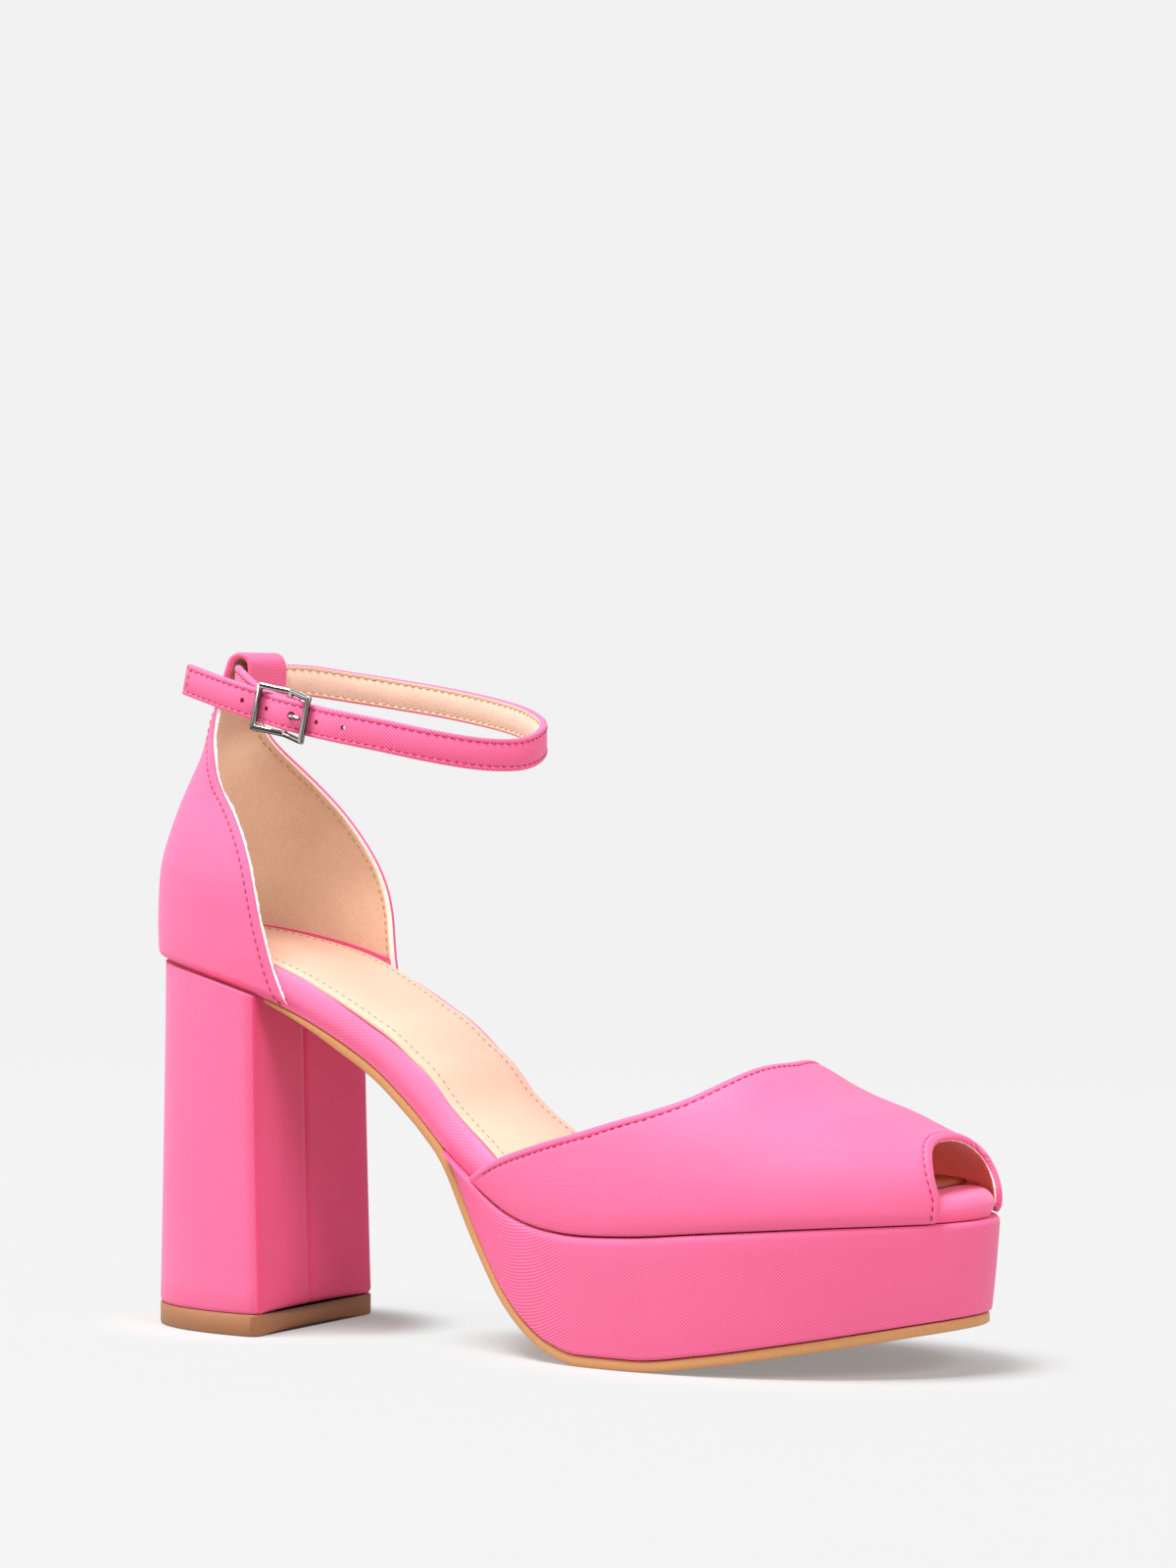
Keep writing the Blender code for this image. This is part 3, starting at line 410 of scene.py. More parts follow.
def footbed_at(share, over=0.0):
    """Height, as a function of the distance from the heel, of a level in the footbed or over it."""

    def height(x):
        thick = FOOTBED_THICK + THIN(x) * (FOOTBED_TOE_THICK - FOOTBED_THICK)
        return footbed_under(x) + (share * thick + over) * steepness(footbed_under, x)

    return height


def sole_under(x):
    """Height of the outsole's underside: along the footbed at the arch, then down to the floor and up at the toe."""
    along_arch = footbed_under(x) - (GAP + OUTSOLE_THICK) * steepness(footbed_under, x)
    ground = LIFT(x) * PLATFORM_HEIGHT + TREAD(x) * TOE_SPRING
    nearness = max(0.0, 1 - abs(along_arch - ground) / ARCH_BLEND)
    return min(along_arch, ground) - ARCH_BLEND * nearness**2 / 4


def sole_top(x):
    """Height of the outsole's upper face."""
    return sole_under(x) + OUTSOLE_THICK * steepness(sole_under, x)


def platform_top(x):
    """Height of the platform's upper face."""
    return footbed_under(x) - GAP * steepness(footbed_under, x)


def platform_under(x):
    """Height of the platform's underside."""
    return sole_top(x) + GAP * steepness(sole_under, x)


def to_frame(point):
    """Moves a point from the heel's measure to the shoe's origin."""
    return Vector((point[0] - TREAD_CENTRE * SHOE_LENGTH, point[1], point[2]))


# Materials


def add(tree, kind, values=None, links=None, **settings):
    """Adds a node with its settings, its sockets' values and its incoming links."""
    node = tree.nodes.new(kind)
    for key, value in settings.items():
        setattr(node, key, value)
    for socket, value in (values or {}).items():
        node.inputs[socket].default_value = value
    for socket, source in (links or {}).items():
        tree.links.new(source, node.inputs[socket])
    return node


def start_material(name, **sockets):
    """A material with an empty Principled surface and its constant sockets set."""
    made = bpy.data.materials.new(name)
    made.use_nodes = True
    tree = made.node_tree
    surface = tree.nodes["Principled BSDF"]
    for socket, value in sockets.items():
        surface.inputs[socket.replace("_", " ")].default_value = value
    return made, tree, surface


def opaque(colour):
    """A colour with full alpha."""
    return (*colour, 1.0)


def noise(tree, place, scale, detail=3.0, roughness=0.5):
    """Noise over a place, as its factor."""
    made = add(
        tree, "ShaderNodeTexNoise", {"Scale": scale, "Detail": detail, "Roughness": roughness}, {"Vector": place}
    )
    return made.outputs["Fac"]


def spread(tree, value, low, high, start=0.3, end=0.7, **settings):
    """A value's range from start to end, spread from low to high."""
    made = add(
        tree, "ShaderNodeMapRange", {"From Min": start, "From Max": end, "To Min": low, "To Max": high},
        {"Value": value}, **settings,
    )
    return made.outputs["Result"]


def colour_skin(tree, surface, colour, value, height=None, strength=0.0, distance=0.0):
    """Colours a surface, lighter and darker with a value, and raises its grain where there is a height."""
    given = {"Color": colour} if isinstance(colour, bpy.types.NodeSocket) else {}
    toned = add(
        tree, "ShaderNodeHueSaturation", {} if given else {"Color": opaque(colour)}, {"Value": value, **given}
    )
    tree.links.new(toned.outputs["Color"], surface.inputs["Base Color"])
    if height:
        bump = add(tree, "ShaderNodeBump", {"Strength": strength, "Distance": distance}, {"Height": height})
        tree.links.new(bump.outputs["Normal"], surface.inputs["Normal"])
    return toned.outputs["Color"]


def cotton_twill(name="cotton_twill", contrast=1.0, relief=1.0, slant=55, painted_shade_tint=None):
    """Fine cotton twill: matt ribs that run up towards the toe at a slant in degrees, with darker valleys."""
    colours = bpy.context.scene.pump_colours
    sizes = bpy.context.scene.pump_sizes
    made, tree, surface = start_material(
        name, Roughness=0.62, Specular_IOR_Level=0.35, Sheen_Weight=0.25, Sheen_Roughness=0.45,
        Sheen_Tint=opaque(linear("#FFC4DC")),
    )
    cloth = add(tree, "ShaderNodeUVMap", uv_map="cloth").outputs["UV"]
    turned = add(tree, "ShaderNodeMapping", {"Rotation": (0, 0, math.radians(slant))}, {"Vector": cloth})
    ribs = add(
        tree, "ShaderNodeTexWave", {"Scale": 2 * math.pi / 20 / sizes.twill_pitch, "Distortion": 0.0},
        {"Vector": turned.outputs["Vector"]}, wave_type="BANDS", bands_direction="X", wave_profile="SIN",
    )
    picks = noise(tree, turned.outputs["Vector"], 2600.0, 2.0, 0.6)
    drift = noise(tree, cloth, 38.0, 3.0, 0.55)
    depth = add(
        tree, "ShaderNodeMix", {"Factor": 0.35}, {"A": ribs.outputs["Fac"], "B": picks}, data_type="FLOAT"
    ).outputs["Result"]
    woven = add(
        tree, "ShaderNodeMix",
        # When given, the painted shade colour takes the place of the twill's own colour: a darker, deeper pink for
        # painted shade
        {"A": opaque(linear(painted_shade_tint) if painted_shade_tint else colours.twill), "B": opaque(colours.twill_valley)},
        {"Factor": spread(tree, depth, contrast, 0.0, 0.15, 0.75)}, data_type="RGBA",
    )
    fade = spread(tree, drift, 0.97, 1.03)
    colour_skin(tree, surface, woven.outputs["Result"], fade, depth, 0.35 * relief, 0.00012)
    return made


def lining_suede(name, colour, roughness=0.8, grain=2200.0):
    """Brushed lining leather: matt, faintly mottled, with a fine nap."""
    made, tree, surface = start_material(
        name, Roughness=roughness, Specular_IOR_Level=0.3, Sheen_Weight=0.3, Sheen_Roughness=0.5
    )
    place = add(tree, "ShaderNodeTexCoord").outputs["Object"]
    nap = noise(tree, place, grain, 4.0, 0.65)
    mottle = spread(tree, noise(tree, place, 90.0, 4.0, 0.6), 0.95, 1.04)
    speckle = spread(tree, nap, 0.90, 1.07, 0.35, 0.65)
    value = add(tree, "ShaderNodeMath", links={0: mottle, 1: speckle}, operation="MULTIPLY")
    colour_skin(tree, surface, colour, value.outputs["Value"], nap, 0.35, 0.00015)
    return made


def lining_calf_painted_shade(name, colour, painted_shade_colour):
    """Smooth pale lining leather of the insock: a soft gloss, a faint grain, and painted shade, darker and redder
    towards the toe where the vamp covers it.
    """
    made, tree, surface = start_material(name, Roughness=0.48, Specular_IOR_Level=0.4)
    place = add(tree, "ShaderNodeTexCoord").outputs["Object"]
    grain = add(tree, "ShaderNodeTexVoronoi", {"Scale": 1500.0}, {"Vector": place}, feature="SMOOTH_F1")
    fade = spread(tree, noise(tree, place, 60.0), 0.97, 1.02)
    toned = colour_skin(tree, surface, colour, fade, grain.outputs["Distance"], 0.12, 0.00008)
    length = add(tree, "ShaderNodeSeparateXYZ", links={"Vector": place})
    # Painted shade: the insock turns darker and redder towards the toe, under the vamp
    painted_shade_share = spread(tree, length.outputs["X"], 0.0, 1.0, 0.030, 0.052, interpolation_type="SMOOTHSTEP")
    under = add(
        tree, "ShaderNodeMix", {"B": opaque(linear(painted_shade_colour))}, {"Factor": painted_shade_share, "A": toned},
        data_type="RGBA",
    )
    tree.links.new(under.outputs["Result"], surface.inputs["Base Color"])
    return made


def moulded_rubber(name, colour):
    """Moulded tan sole rubber with a satin skin and fine speckle."""
    made, tree, surface = start_material(name, Roughness=0.5, Specular_IOR_Level=0.45)
    place = add(tree, "ShaderNodeTexCoord").outputs["Object"]
    speckle = noise(tree, place, 1400.0, 3.0, 0.7)
    colour_skin(tree, surface, colour, spread(tree, speckle, 0.93, 1.05), speckle, 0.08, 0.00006)
    return made


def polished_nickel_painted_reflection(name="polished_nickel_painted_reflection"):
    """Nickel plate, polished, with painted reflection: its colour runs from bright ridges to dark flanks by how far
    each face turns to the top lamp, as a studio's lamps and flags would be mirrored.
    """
    made, tree, surface = start_material(name, Metallic=1.0)
    place = add(tree, "ShaderNodeTexCoord")
    turned = add(
        tree, "ShaderNodeVectorMath", {1: (0.62, -0.50, 0.60)}, {0: place.outputs["Normal"]},
        operation="DOT_PRODUCT",
    )
    # Painted reflection: the base colour follows how far the face turns to the top lamp
    ramp = add(tree, "ShaderNodeValToRGB", links={"Fac": turned.outputs["Value"]})
    for at, colour in NICKEL_PAINTED_REFLECTION[1:-1]:
        ramp.color_ramp.elements.new(at)
    for element, (at, colour) in zip(ramp.color_ramp.elements, NICKEL_PAINTED_REFLECTION):
        element.position = at
        element.color = opaque(linear(colour))
    gloss = spread(tree, noise(tree, place.outputs["Object"], 700.0), 0.10, 0.22, 0.0, 1.0)
    tree.links.new(ramp.outputs["Color"], surface.inputs["Base Color"])
    tree.links.new(gloss, surface.inputs["Roughness"])
    return made


def sewing_thread(name, colour):
    """Twisted polyester thread, slightly shiny, its ply showing as a fine mottle."""
    made, tree, surface = start_material(name, Roughness=0.55, Specular_IOR_Level=0.4, Sheen_Weight=0.15)
    place = add(tree, "ShaderNodeTexCoord").outputs["Object"]
    colour_skin(tree, surface, colour, spread(tree, noise(tree, place, 3500.0, 1.0), 0.85, 1.12))
    return made


def studio_paper(name, colour):
    """Matt studio paper: it takes shadows close round the sole, and farther off it is lit evenly by its own lamps."""
    made, tree, surface = start_material(name, Roughness=0.9, Specular_IOR_Level=0.1, Base_Color=opaque(colour))
    place = add(tree, "ShaderNodeTexCoord").outputs["Object"]
    reaches = []
    for middle, reach in SHADOW_ELLIPSES:
        moved = add(tree, "ShaderNodeVectorMath", {1: middle}, {0: place}, operation="SUBTRACT")
        scaled = add(tree, "ShaderNodeVectorMath", {1: reach}, {0: moved.outputs["Vector"]}, operation="DIVIDE")
        far = add(tree, "ShaderNodeVectorMath", links={0: scaled.outputs["Vector"]}, operation="LENGTH")
        reaches.append(far.outputs["Value"])
    nearest = add(tree, "ShaderNodeMath", links={0: reaches[0], 1: reaches[1]}, operation="MINIMUM")
    share = spread(tree, nearest.outputs["Value"], 0.26, 0.95, 0.70, 1.18, interpolation_type="SMOOTHSTEP")
    lit = add(tree, "ShaderNodeEmission", {"Color": opaque(linear("#F4F4F4")), "Strength": 1.0})
    mixed = add(
        tree, "ShaderNodeMixShader", links={0: share, 1: surface.outputs["BSDF"], 2: lit.outputs["Emission"]}
    )
    tree.links.new(mixed.outputs["Shader"], tree.nodes["Material Output"].inputs["Surface"])
    return made


FINISHES = {}


def finish(name):
    """A finish of the shoe, made once."""
    if name not in FINISHES:
        colours = bpy.context.scene.pump_colours
        makers = {
            "twill": lambda: cotton_twill("cotton_twill"),
            "vamp_twill": lambda: cotton_twill("cotton_twill_vamp", slant=66),
            # The heel's breast: twill with painted shade, darker and deeper pink
            "painted_shade_twill": lambda: cotton_twill("cotton_twill_breast_painted_shade", painted_shade_tint="#F6467C"),
            "wrap": lambda: cotton_twill("cotton_twill_wrap", contrast=0.35, relief=0.5),
            "lining": lambda: lining_suede("lining_suede", colours.lining),
            # Lining inside the toe, with painted shade and painted pink bounce light
            "vamp_lining_painted_shade": lambda: lining_suede("lining_suede_vamp_painted_shade", colours.vamp_lining_painted_shade),
            "strap_lining": lambda: lining_suede("lining_suede_strap", colours.strap_lining),
            "raw_edge": lambda: lining_suede("lining_cut_edge", colours.raw_edge, 0.85, 1600.0),
            "cut_edge": lambda: lining_suede("painted_cut_edge", linear("#C23A66"), 0.6, 1600.0),
            # The insock's toe end, under the vamp, takes painted shade in #A8684A
            "insock": lambda: lining_calf_painted_shade("lining_calf_painted_shade", colours.insock, "#A8684A"),
            "sole": lambda: moulded_rubber("moulded_rubber", colours.sole),
            "heel_lift": lambda: moulded_rubber("moulded_rubber_lift", colours.heel_lift),
            "nickel": polished_nickel_painted_reflection,
            "thread": lambda: sewing_thread("polyester_thread", colours.thread),
            "insock_thread": lambda: sewing_thread("polyester_thread_insock", linear("#9C8468")),
            "pale_thread": lambda: sewing_thread("polyester_thread_pale", linear("#BC9068")),
            "paper": lambda: studio_paper("studio_paper", colours.floor),
        }
        FINISHES[name] = makers[name]()
    return FINISHES[name]


# Mesh makers


def piece(name, points, faces, finishes, crease=50.0):
    """A mesh object from points and faces. A face is its corners, their cloth positions and its finish's place."""
    mesh = bpy.data.meshes.new(name)
    mesh.from_pydata([tuple(to_frame(p)) for p in points], [], [corners for corners, cloth, slot in faces])
    layer = mesh.uv_layers.new(name="cloth")
    flat = [value for corners, cloth, slot in faces for pair in cloth for value in pair]
    layer.data.foreach_set("uv", flat)
    for finish_name in finishes:
        mesh.materials.append(finish(finish_name))
    mesh.polygons.foreach_set("material_index", [slot for corners, cloth, slot in faces])
    mesh.validate()
    mesh.update()
    mesh.shade_smooth()
    mesh.set_sharp_from_angle(angle=math.radians(crease))
    made = bpy.data.objects.new(name, mesh)
    bpy.context.scene.collection.objects.link(made)
    return made


def turn_out(made):
    """Turns every face of a closed mesh outwards."""
    shape = bmesh.new()
    shape.from_mesh(made.data)
    bmesh.ops.recalc_face_normals(shape, faces=shape.faces)
    shape.to_mesh(made.data)
    shape.free()
    return made


def smooth_form(made, levels):
    """Gives a piece subdivision, the same in the viewport and the render."""
    form = made.modifiers.new("form", "SUBSURF")
    form.levels = levels
    form.render_levels = levels
    return made


def settle(made, slot, *nodes):
    """Rides a piece on the shoe and hides the frame's nodes that it stands in for. slot is not used."""
    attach(made, BODY)
    if nodes:
        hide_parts(*nodes)
    return made


def stations(start, end, round_start, round_end):
    """Distances from the heel at which a bottom piece has an edge, closer together at its rounded ends."""
    zone = 9 * STATION_STEP
    turns = [1 - math.cos(math.radians(90 * k / 24)) for k in range(1, 25)]
    first = [start] + [start + zone * t for t in turns] if round_start else [start]
    last = [end] + [end - zone * t for t in turns] if round_end else [end]
    low = math.ceil((first[-1] + STATION_STEP / 3) / STATION_STEP)
    high = math.floor((last[-1] - STATION_STEP / 3) / STATION_STEP)
    return first + [k * STATION_STEP for k in range(low, high + 1)] + last[::-1]


def in_waist(x):
    """How far, from 0 to 1, a distance from the heel is in the open waist between the heel and the vamp."""
    share = (x - HEEL_DEPTH) / (VAMP_REAR - HEEL_DEPTH)
    return math.sin(math.pi * share) ** 2 if 0 < share < 1 else 0.0


def eased(x, y, z):
    """A point of the bottom, lowered a little on the waist's outer side."""
    share = in_waist(x)
    outward = max(0.0, 0.5 - 0.5 * y / half_width(x, -1)) if share else 0.0
    return x, y, z - WAIST_DROP * share * outward


def plan_loop(start, end, round_start, round_end):
    """Plan of a bottom piece as a loop of points, along its outer side and back, and how many pairs face each other."""
    places = stations(start, end, round_start, round_end)
    outer = [(x, -half_width(x, -1)) for x in places]
    inner = [(x, half_width(x, 1)) for x in places[::-1]]
    if round_end:
        inner = inner[1:]
    if round_start:
        inner = inner[:-1]
    return np.array(outer + inner), len(places)


def drawn_in(loop, inset):
    """A loop drawn in by a distance, square to its own edge."""
    before = np.roll(loop, 1, axis=0)
    after = np.roll(loop, -1, axis=0)
    back = (loop - before) / np.linalg.norm(loop - before, axis=1)[:, None]
    ahead = (after - loop) / np.linalg.norm(after - loop, axis=1)[:, None]
    bisector = np.stack((-back[:, 1] - ahead[:, 1], back[:, 0] + ahead[:, 0]), axis=1)
    scale = 2 / np.maximum(np.sum(bisector * bisector, axis=1), 0.6)
    return loop + bisector * scale[:, None] * inset


def ring_quads(count, size):
    """Faces between each two of several rings of points: the ring, the place in it and the corners."""
    for level in range(count - 1):
        low, high = level * size, (level + 1) * size
        for k in range(size):
            n = (k + 1) % size
            yield level, k, (low + k, low + n, high + n, high + k)


def cap_faces(points, size, pairs, level, turn):
    """Faces that close a ring of points with strips from side to side. pairs are places that face each other."""
    faces = []
    for (a, b), (c, d) in zip(pairs[:-1], pairs[1:]):
        corners = [a, c, d, b]
        unique = [i for k, i in enumerate(corners) if i not in corners[:k]][::turn]
        if len(unique) > 2:
            face = tuple(level * size + i for i in unique)
            faces.append((face, tuple((points[i][0], points[i][1]) for i in face), 0))
    return faces


def tube_faces(cloth, size, slots=None, end_cloth=None):
    """Faces of a tube with closed ends, from its points' cloth positions. slots are the finishes round a ring."""
    count = len(cloth) // size
    faces = [
        (corners, tuple(cloth[c] for c in corners), slots[k] if slots else 0)
        for level, k, corners in ring_quads(count, size)
    ]
    for level in (0, count - 1):
        corners = tuple(range(level * size, (level + 1) * size))
        flat = end_cloth or [cloth[c] for c in corners]
        faces.append((corners, tuple(flat), 0))
    return faces


def girth_of(loop):
    """Distances round a plan's loop to each of its points and back to the first."""
    return np.concatenate(([0.0], np.cumsum(np.linalg.norm(np.roll(loop, -1, axis=0) - loop, axis=1))))


def slab(name, loop, count, layers, finish_name):
    """A closed slab. loop and count are its plan, layers pairs of an inset and a height(x), from below upwards."""
    rings = [[eased(x, y, height(x)) for x, y in drawn_in(loop, inset)] for inset, height in layers]
    size = len(loop)
    points = [p for ring in rings for p in ring]
    girth = girth_of(loop)
    climb = [np.zeros(size)]
    for low, high in zip(rings[:-1], rings[1:]):
        climb.append(climb[-1] + np.linalg.norm(np.array(high) - np.array(low), axis=1))
    faces = []
    for level, k, corners in ring_quads(len(rings), size):
        n = (k + 1) % size
        cloth = (
            (girth[k], climb[level][k]), (girth[k + 1], climb[level][n]),
            (girth[k + 1], climb[level + 1][n]), (girth[k], climb[level + 1][k]),
        )
        faces.append((corners, cloth, 0))
    pairs = cap_pairs(size, count, len(loop) < 2 * count)
    for level, turn in ((0, -1), (len(rings) - 1, 1)):
        faces += cap_faces(points, size, pairs, level, turn)
    return turn_out(piece(name, points, faces, [finish_name], SLAB_CREASE))


def cap_pairs(size, count, closed_start):
    """Which points of a plan's loop face each other across it, from its rear to its front."""
    pairs = []
    for k in range(count):
        across = (size - k) % size if closed_start else size - 1 - k
        if across < count - 1 and k > 0:
            across = k
        pairs.append((k, across))
    return pairs


def between(under, over, share):
    """A height function between two others."""
    return lambda x: under(x) * (1 - share) + over(x) * share


def grid_normals(grid):
    """Unit normals of a grid of points, pointing out where its rows run forwards or upwards."""
    down = np.gradient(grid, axis=0)
    across = np.gradient(grid, axis=1)
    normal = np.cross(down, across)
    return normal / np.linalg.norm(normal, axis=2)[:, :, None]


def unit(vector):
    """A vector of length 1."""
    return vector / np.linalg.norm(vector)


def folded_wall(name, inner, outer, finishes, edge_slots, fullness, plain_from=None, wrapped_to=0, arc=4):
    """A wall of cloth and lining whose edges are rounded where its lines along the first axis begin and end.

    finishes are cloth, lining and cut edge. edge_slots are the finishes of the start's and the end's faces, from
    the cloth's side. fullness is how far the edges swell. Past the column plain_from they are all cloth, and up
    to the column wrapped_to the lining is hidden by cloth.
    """
    lines, across = outer.shape[:2]
    thick = np.linalg.norm(outer - inner, axis=2)
    along = np.zeros((lines, across))
    along[1:] = np.cumsum(np.linalg.norm(np.diff(outer, axis=0), axis=2), axis=0)
    over = np.zeros((lines, across))
    over[:, 1:] = np.cumsum(np.linalg.norm(np.diff(outer, axis=1), axis=2), axis=1)

    def edge_arc(at, beside, c):
        tip = unit(outer[at, c] - outer[beside, c])
        middle = (outer[at, c] + inner[at, c]) / 2
        half = (outer[at, c] - inner[at, c]) / 2
        reach = thick[at, c] * fullness
        turns = [math.pi * k / arc for k in range(1, arc)]
        return [middle + half * math.cos(t) + tip * reach * math.sin(t) for t in turns]

    points = []
    cloth = []
    for c in range(across):
        points += list(outer[:, c]) + edge_arc(-1, -2, c) + list(inner[::-1, c]) + edge_arc(0, 1, c)[::-1]
        cloth += [(along[r, c], over[r, c]) for r in range(lines)]
        cloth += [(along[-1, c] + thick[-1, c] * k / arc, over[-1, c]) for k in range(1, arc)]
        cloth += [(along[r, c] + thick[r, c], over[r, c]) for r in range(lines - 1, -1, -1)]
        cloth += [(-thick[0, c] * (1 - k / arc), over[0, c]) for k in range(1, arc)]
    size = 2 * (lines + arc - 1)
    slots = [0] * (lines - 1) + list(edge_slots[1]) + [1] * (lines - 1) + list(edge_slots[0])[::-1]
    faces = []
    for c, k, corners in ring_quads(across, size):
        plain = (slots[k] == 2 and plain_from and c >= plain_from) or (slots[k] == 1 and c < wrapped_to)
        faces.append((corners, tuple(cloth[i] for i in corners), 0 if plain else slots[k]))
    for c in (0, across - 1):
        base = c * size
        far = base + 2 * lines + arc - 2
        ends = [(base + k, base + k + 1, far - k - 1, far - k) for k in range(lines - 1)]
        ends.append(tuple(base + k for k in range(lines - 1, lines + arc)))
        ends.append(tuple(base + k for k in range(2 * lines + arc - 2, size)) + (base,))
        faces += [(corners, tuple(cloth[i] for i in corners), 0) for corners in ends]
    return turn_out(piece(name, points, faces, finishes))


def beside_edge(outer, at_start, distance):
    """A line on a wall's outer face, at a distance from the edge where its lines start or end, with its normals."""
    grid = outer if at_start else outer[::-1]
    normals = grid_normals(outer)
    normals = normals if at_start else normals[::-1]
    rims = np.gradient(grid[0], axis=0)
    line = []
    for c in range(grid.shape[1]):
        steps = np.linalg.norm(np.diff(grid[:, c], axis=0), axis=1)
        reach = np.concatenate(([0.0], np.cumsum(steps)))
        rim = unit(rims[c])
        inwards = unit(grid[1, c] - grid[0, c])
        square = np.linalg.norm(inwards - rim * float(inwards @ rim))
        wanted = min(distance / max(square, 0.4), reach[-1] * 0.45)
        place = np.array([np.interp(wanted, reach, grid[:, c, i]) for i in range(3)])
        facing = unit(np.array([np.interp(wanted, reach, normals[:, c, i]) for i in range(3)]))
        line.append((place, facing))
    return line


# Sewing


def stitch_tree(thread):
    """Geometry Nodes that lay stitches along lines of points. Each point's outward direction turns its stitch."""
    tree = bpy.data.node_groups.new("running_stitch_" + thread.name, "GeometryNodeTree")
    face = tree.interface
    face.new_socket("Geometry", in_out="INPUT", socket_type="NodeSocketGeometry")
    for name, value in (("Pitch", 0.0026), ("Length", 0.0019), ("Width", 0.0004)):
        socket = face.new_socket(name, in_out="INPUT", socket_type="NodeSocketFloat")
        socket.default_value = value
        socket.subtype = "DISTANCE"
    face.new_socket("Geometry", in_out="OUTPUT", socket_type="NodeSocketGeometry")
    given = add(tree, "NodeGroupInput")
    line = add(tree, "GeometryNodeMeshToCurve", links={"Mesh": given.outputs["Geometry"]})
    even = add(
        tree, "GeometryNodeResampleCurve", links={"Curve": line.outputs["Curve"], "Length": given.outputs["Pitch"]},
        mode="LENGTH",
    )
    tangent = add(tree, "GeometryNodeInputTangent")
    outward = add(tree, "GeometryNodeInputNamedAttribute", {"Name": "outward"}, data_type="FLOAT_VECTOR")
    along = add(
        tree, "FunctionNodeAlignRotationToVector", links={"Vector": tangent.outputs["Tangent"]}, axis="X",
        pivot_axis="AUTO",
    )
    facing = add(
        tree, "FunctionNodeAlignRotationToVector",
        links={"Rotation": along.outputs["Rotation"], "Vector": outward.outputs["Attribute"]}, axis="Z", pivot_axis="X",
    )
    bead = add(tree, "GeometryNodeMeshUVSphere", {"Segments": 8, "Rings": 6, "Radius": 0.5})
    size = add(
        tree, "ShaderNodeCombineXYZ",
        links={"X": given.outputs["Length"], "Y": given.outputs["Width"], "Z": given.outputs["Width"]},
    )
    stitch = add(
        tree, "GeometryNodeTransform", links={"Geometry": bead.outputs["Mesh"], "Scale": size.outputs["Vector"]}
    )
    sewn = add(
        tree, "GeometryNodeInstanceOnPoints",
        links={
            "Points": even.outputs["Curve"], "Instance": stitch.outputs["Geometry"],
            "Rotation": facing.outputs["Rotation"],
        },
    )
    real = add(tree, "GeometryNodeRealizeInstances", links={"Geometry": sewn.outputs["Instances"]})
    smooth = add(tree, "GeometryNodeSetShadeSmooth", links={"Geometry": real.outputs["Geometry"]})
    dressed = add(
        tree, "GeometryNodeSetMaterial", {"Material": thread}, {"Geometry": smooth.outputs["Geometry"]}
    )
    add(tree, "NodeGroupOutput", links={"Geometry": dressed.outputs["Geometry"]})
    return tree


def sew(name, lines, finish_name, slot, pitch=None, length=None, width=None):
    """Stitches along several lines of places and outward directions, as one plain mesh."""
    sizes = bpy.context.scene.pump_sizes
    mesh = bpy.data.meshes.new(name)
    points = [tuple(to_frame(place)) for line in lines for place, facing in line]
    edges = []
    first = 0
    for line in lines:
        edges += [(first + k, first + k + 1) for k in range(len(line) - 1)]
        first += len(line)
    mesh.from_pydata(points, edges, [])
    outward = mesh.attributes.new("outward", "FLOAT_VECTOR", "POINT")
    outward.data.foreach_set("vector", [v for line in lines for place, facing in line for v in facing])
    guide = bpy.data.objects.new(name + "_guide", mesh)
    bpy.context.scene.collection.objects.link(guide)
    tree = stitch_tree(finish(finish_name))
    sewing = guide.modifiers.new("stitches", "NODES")
    sewing.node_group = tree
    wanted = {
        "Pitch": pitch or sizes.stitch_pitch, "Length": length or sizes.stitch_length,
        "Width": width or sizes.stitch_width,
    }
    for item in tree.interface.items_tree:
        if item.in_out == "INPUT" and item.name in wanted:
            sewing[item.identifier] = wanted[item.name]
    graph = bpy.context.evaluated_depsgraph_get()
    made = bpy.data.objects.new(name, bpy.data.meshes.new_from_object(guide.evaluated_get(graph)))
    made.data.name = name
    bpy.context.scene.collection.objects.link(made)
    bpy.data.objects.remove(guide)
    return settle(made, slot)


# Bottom pieces


def padded_at(share, part):
    """Height of a level in the footbed, with a part of the rim that stands round the insock behind the vamp."""
    plain = footbed_at(share)

    def height(x):
        ahead = min(max((x - RIM_FADE_START) / RIM_FADE_LENGTH, 0.0), 1.0)
        return plain(x) + part * FOOTBED_RIM * (1 - ahead * ahead * (3 - 2 * ahead)) * steepness(footbed_under, x)

    return height


def make_footbed():
    """Insole board wrapped in pink, with full rounded edges that stand a little over its top."""
    loop, count = plan_loop(0.0, SHOE_LENGTH, True, True)
    hem = [(HEM_TUCK * part, share, rim) for part, share, rim in FOOTBED_HEM]
    edge = [(FOOTBED_EDGE_ROUND * part, share, rim) for part, share, rim in FOOTBED_EDGE]
    inside = [(INSOCK_INSET - 0.00045, 1.0, 1.0), (INSOCK_INSET - 0.0002, 1.0, 0.85), (INSOCK_INSET - 0.0001, 1.0, 0.0)]
    layers = [(inset, padded_at(share, rim)) for inset, share, rim in hem + edge + inside]
    return settle(slab("footbed_wrap", loop, count, layers, "wrap"), "pink_wrap", "footbed")


def insock_plan():
    """Plan of the insock, cut straight across short of the toe opening."""
    loop, count = plan_loop(0.0, SHOE_LENGTH, True, True)
    inner = drawn_in(loop, INSOCK_INSET)
    limit = SHOE_LENGTH - INSOCK_TOE_INSET
    kept = np.array([(p[0], p[1] - INSOCK_SHIFT * in_waist(p[0])) for p in inner if p[0] < limit])
    return kept, (len(kept) + 2) // 2


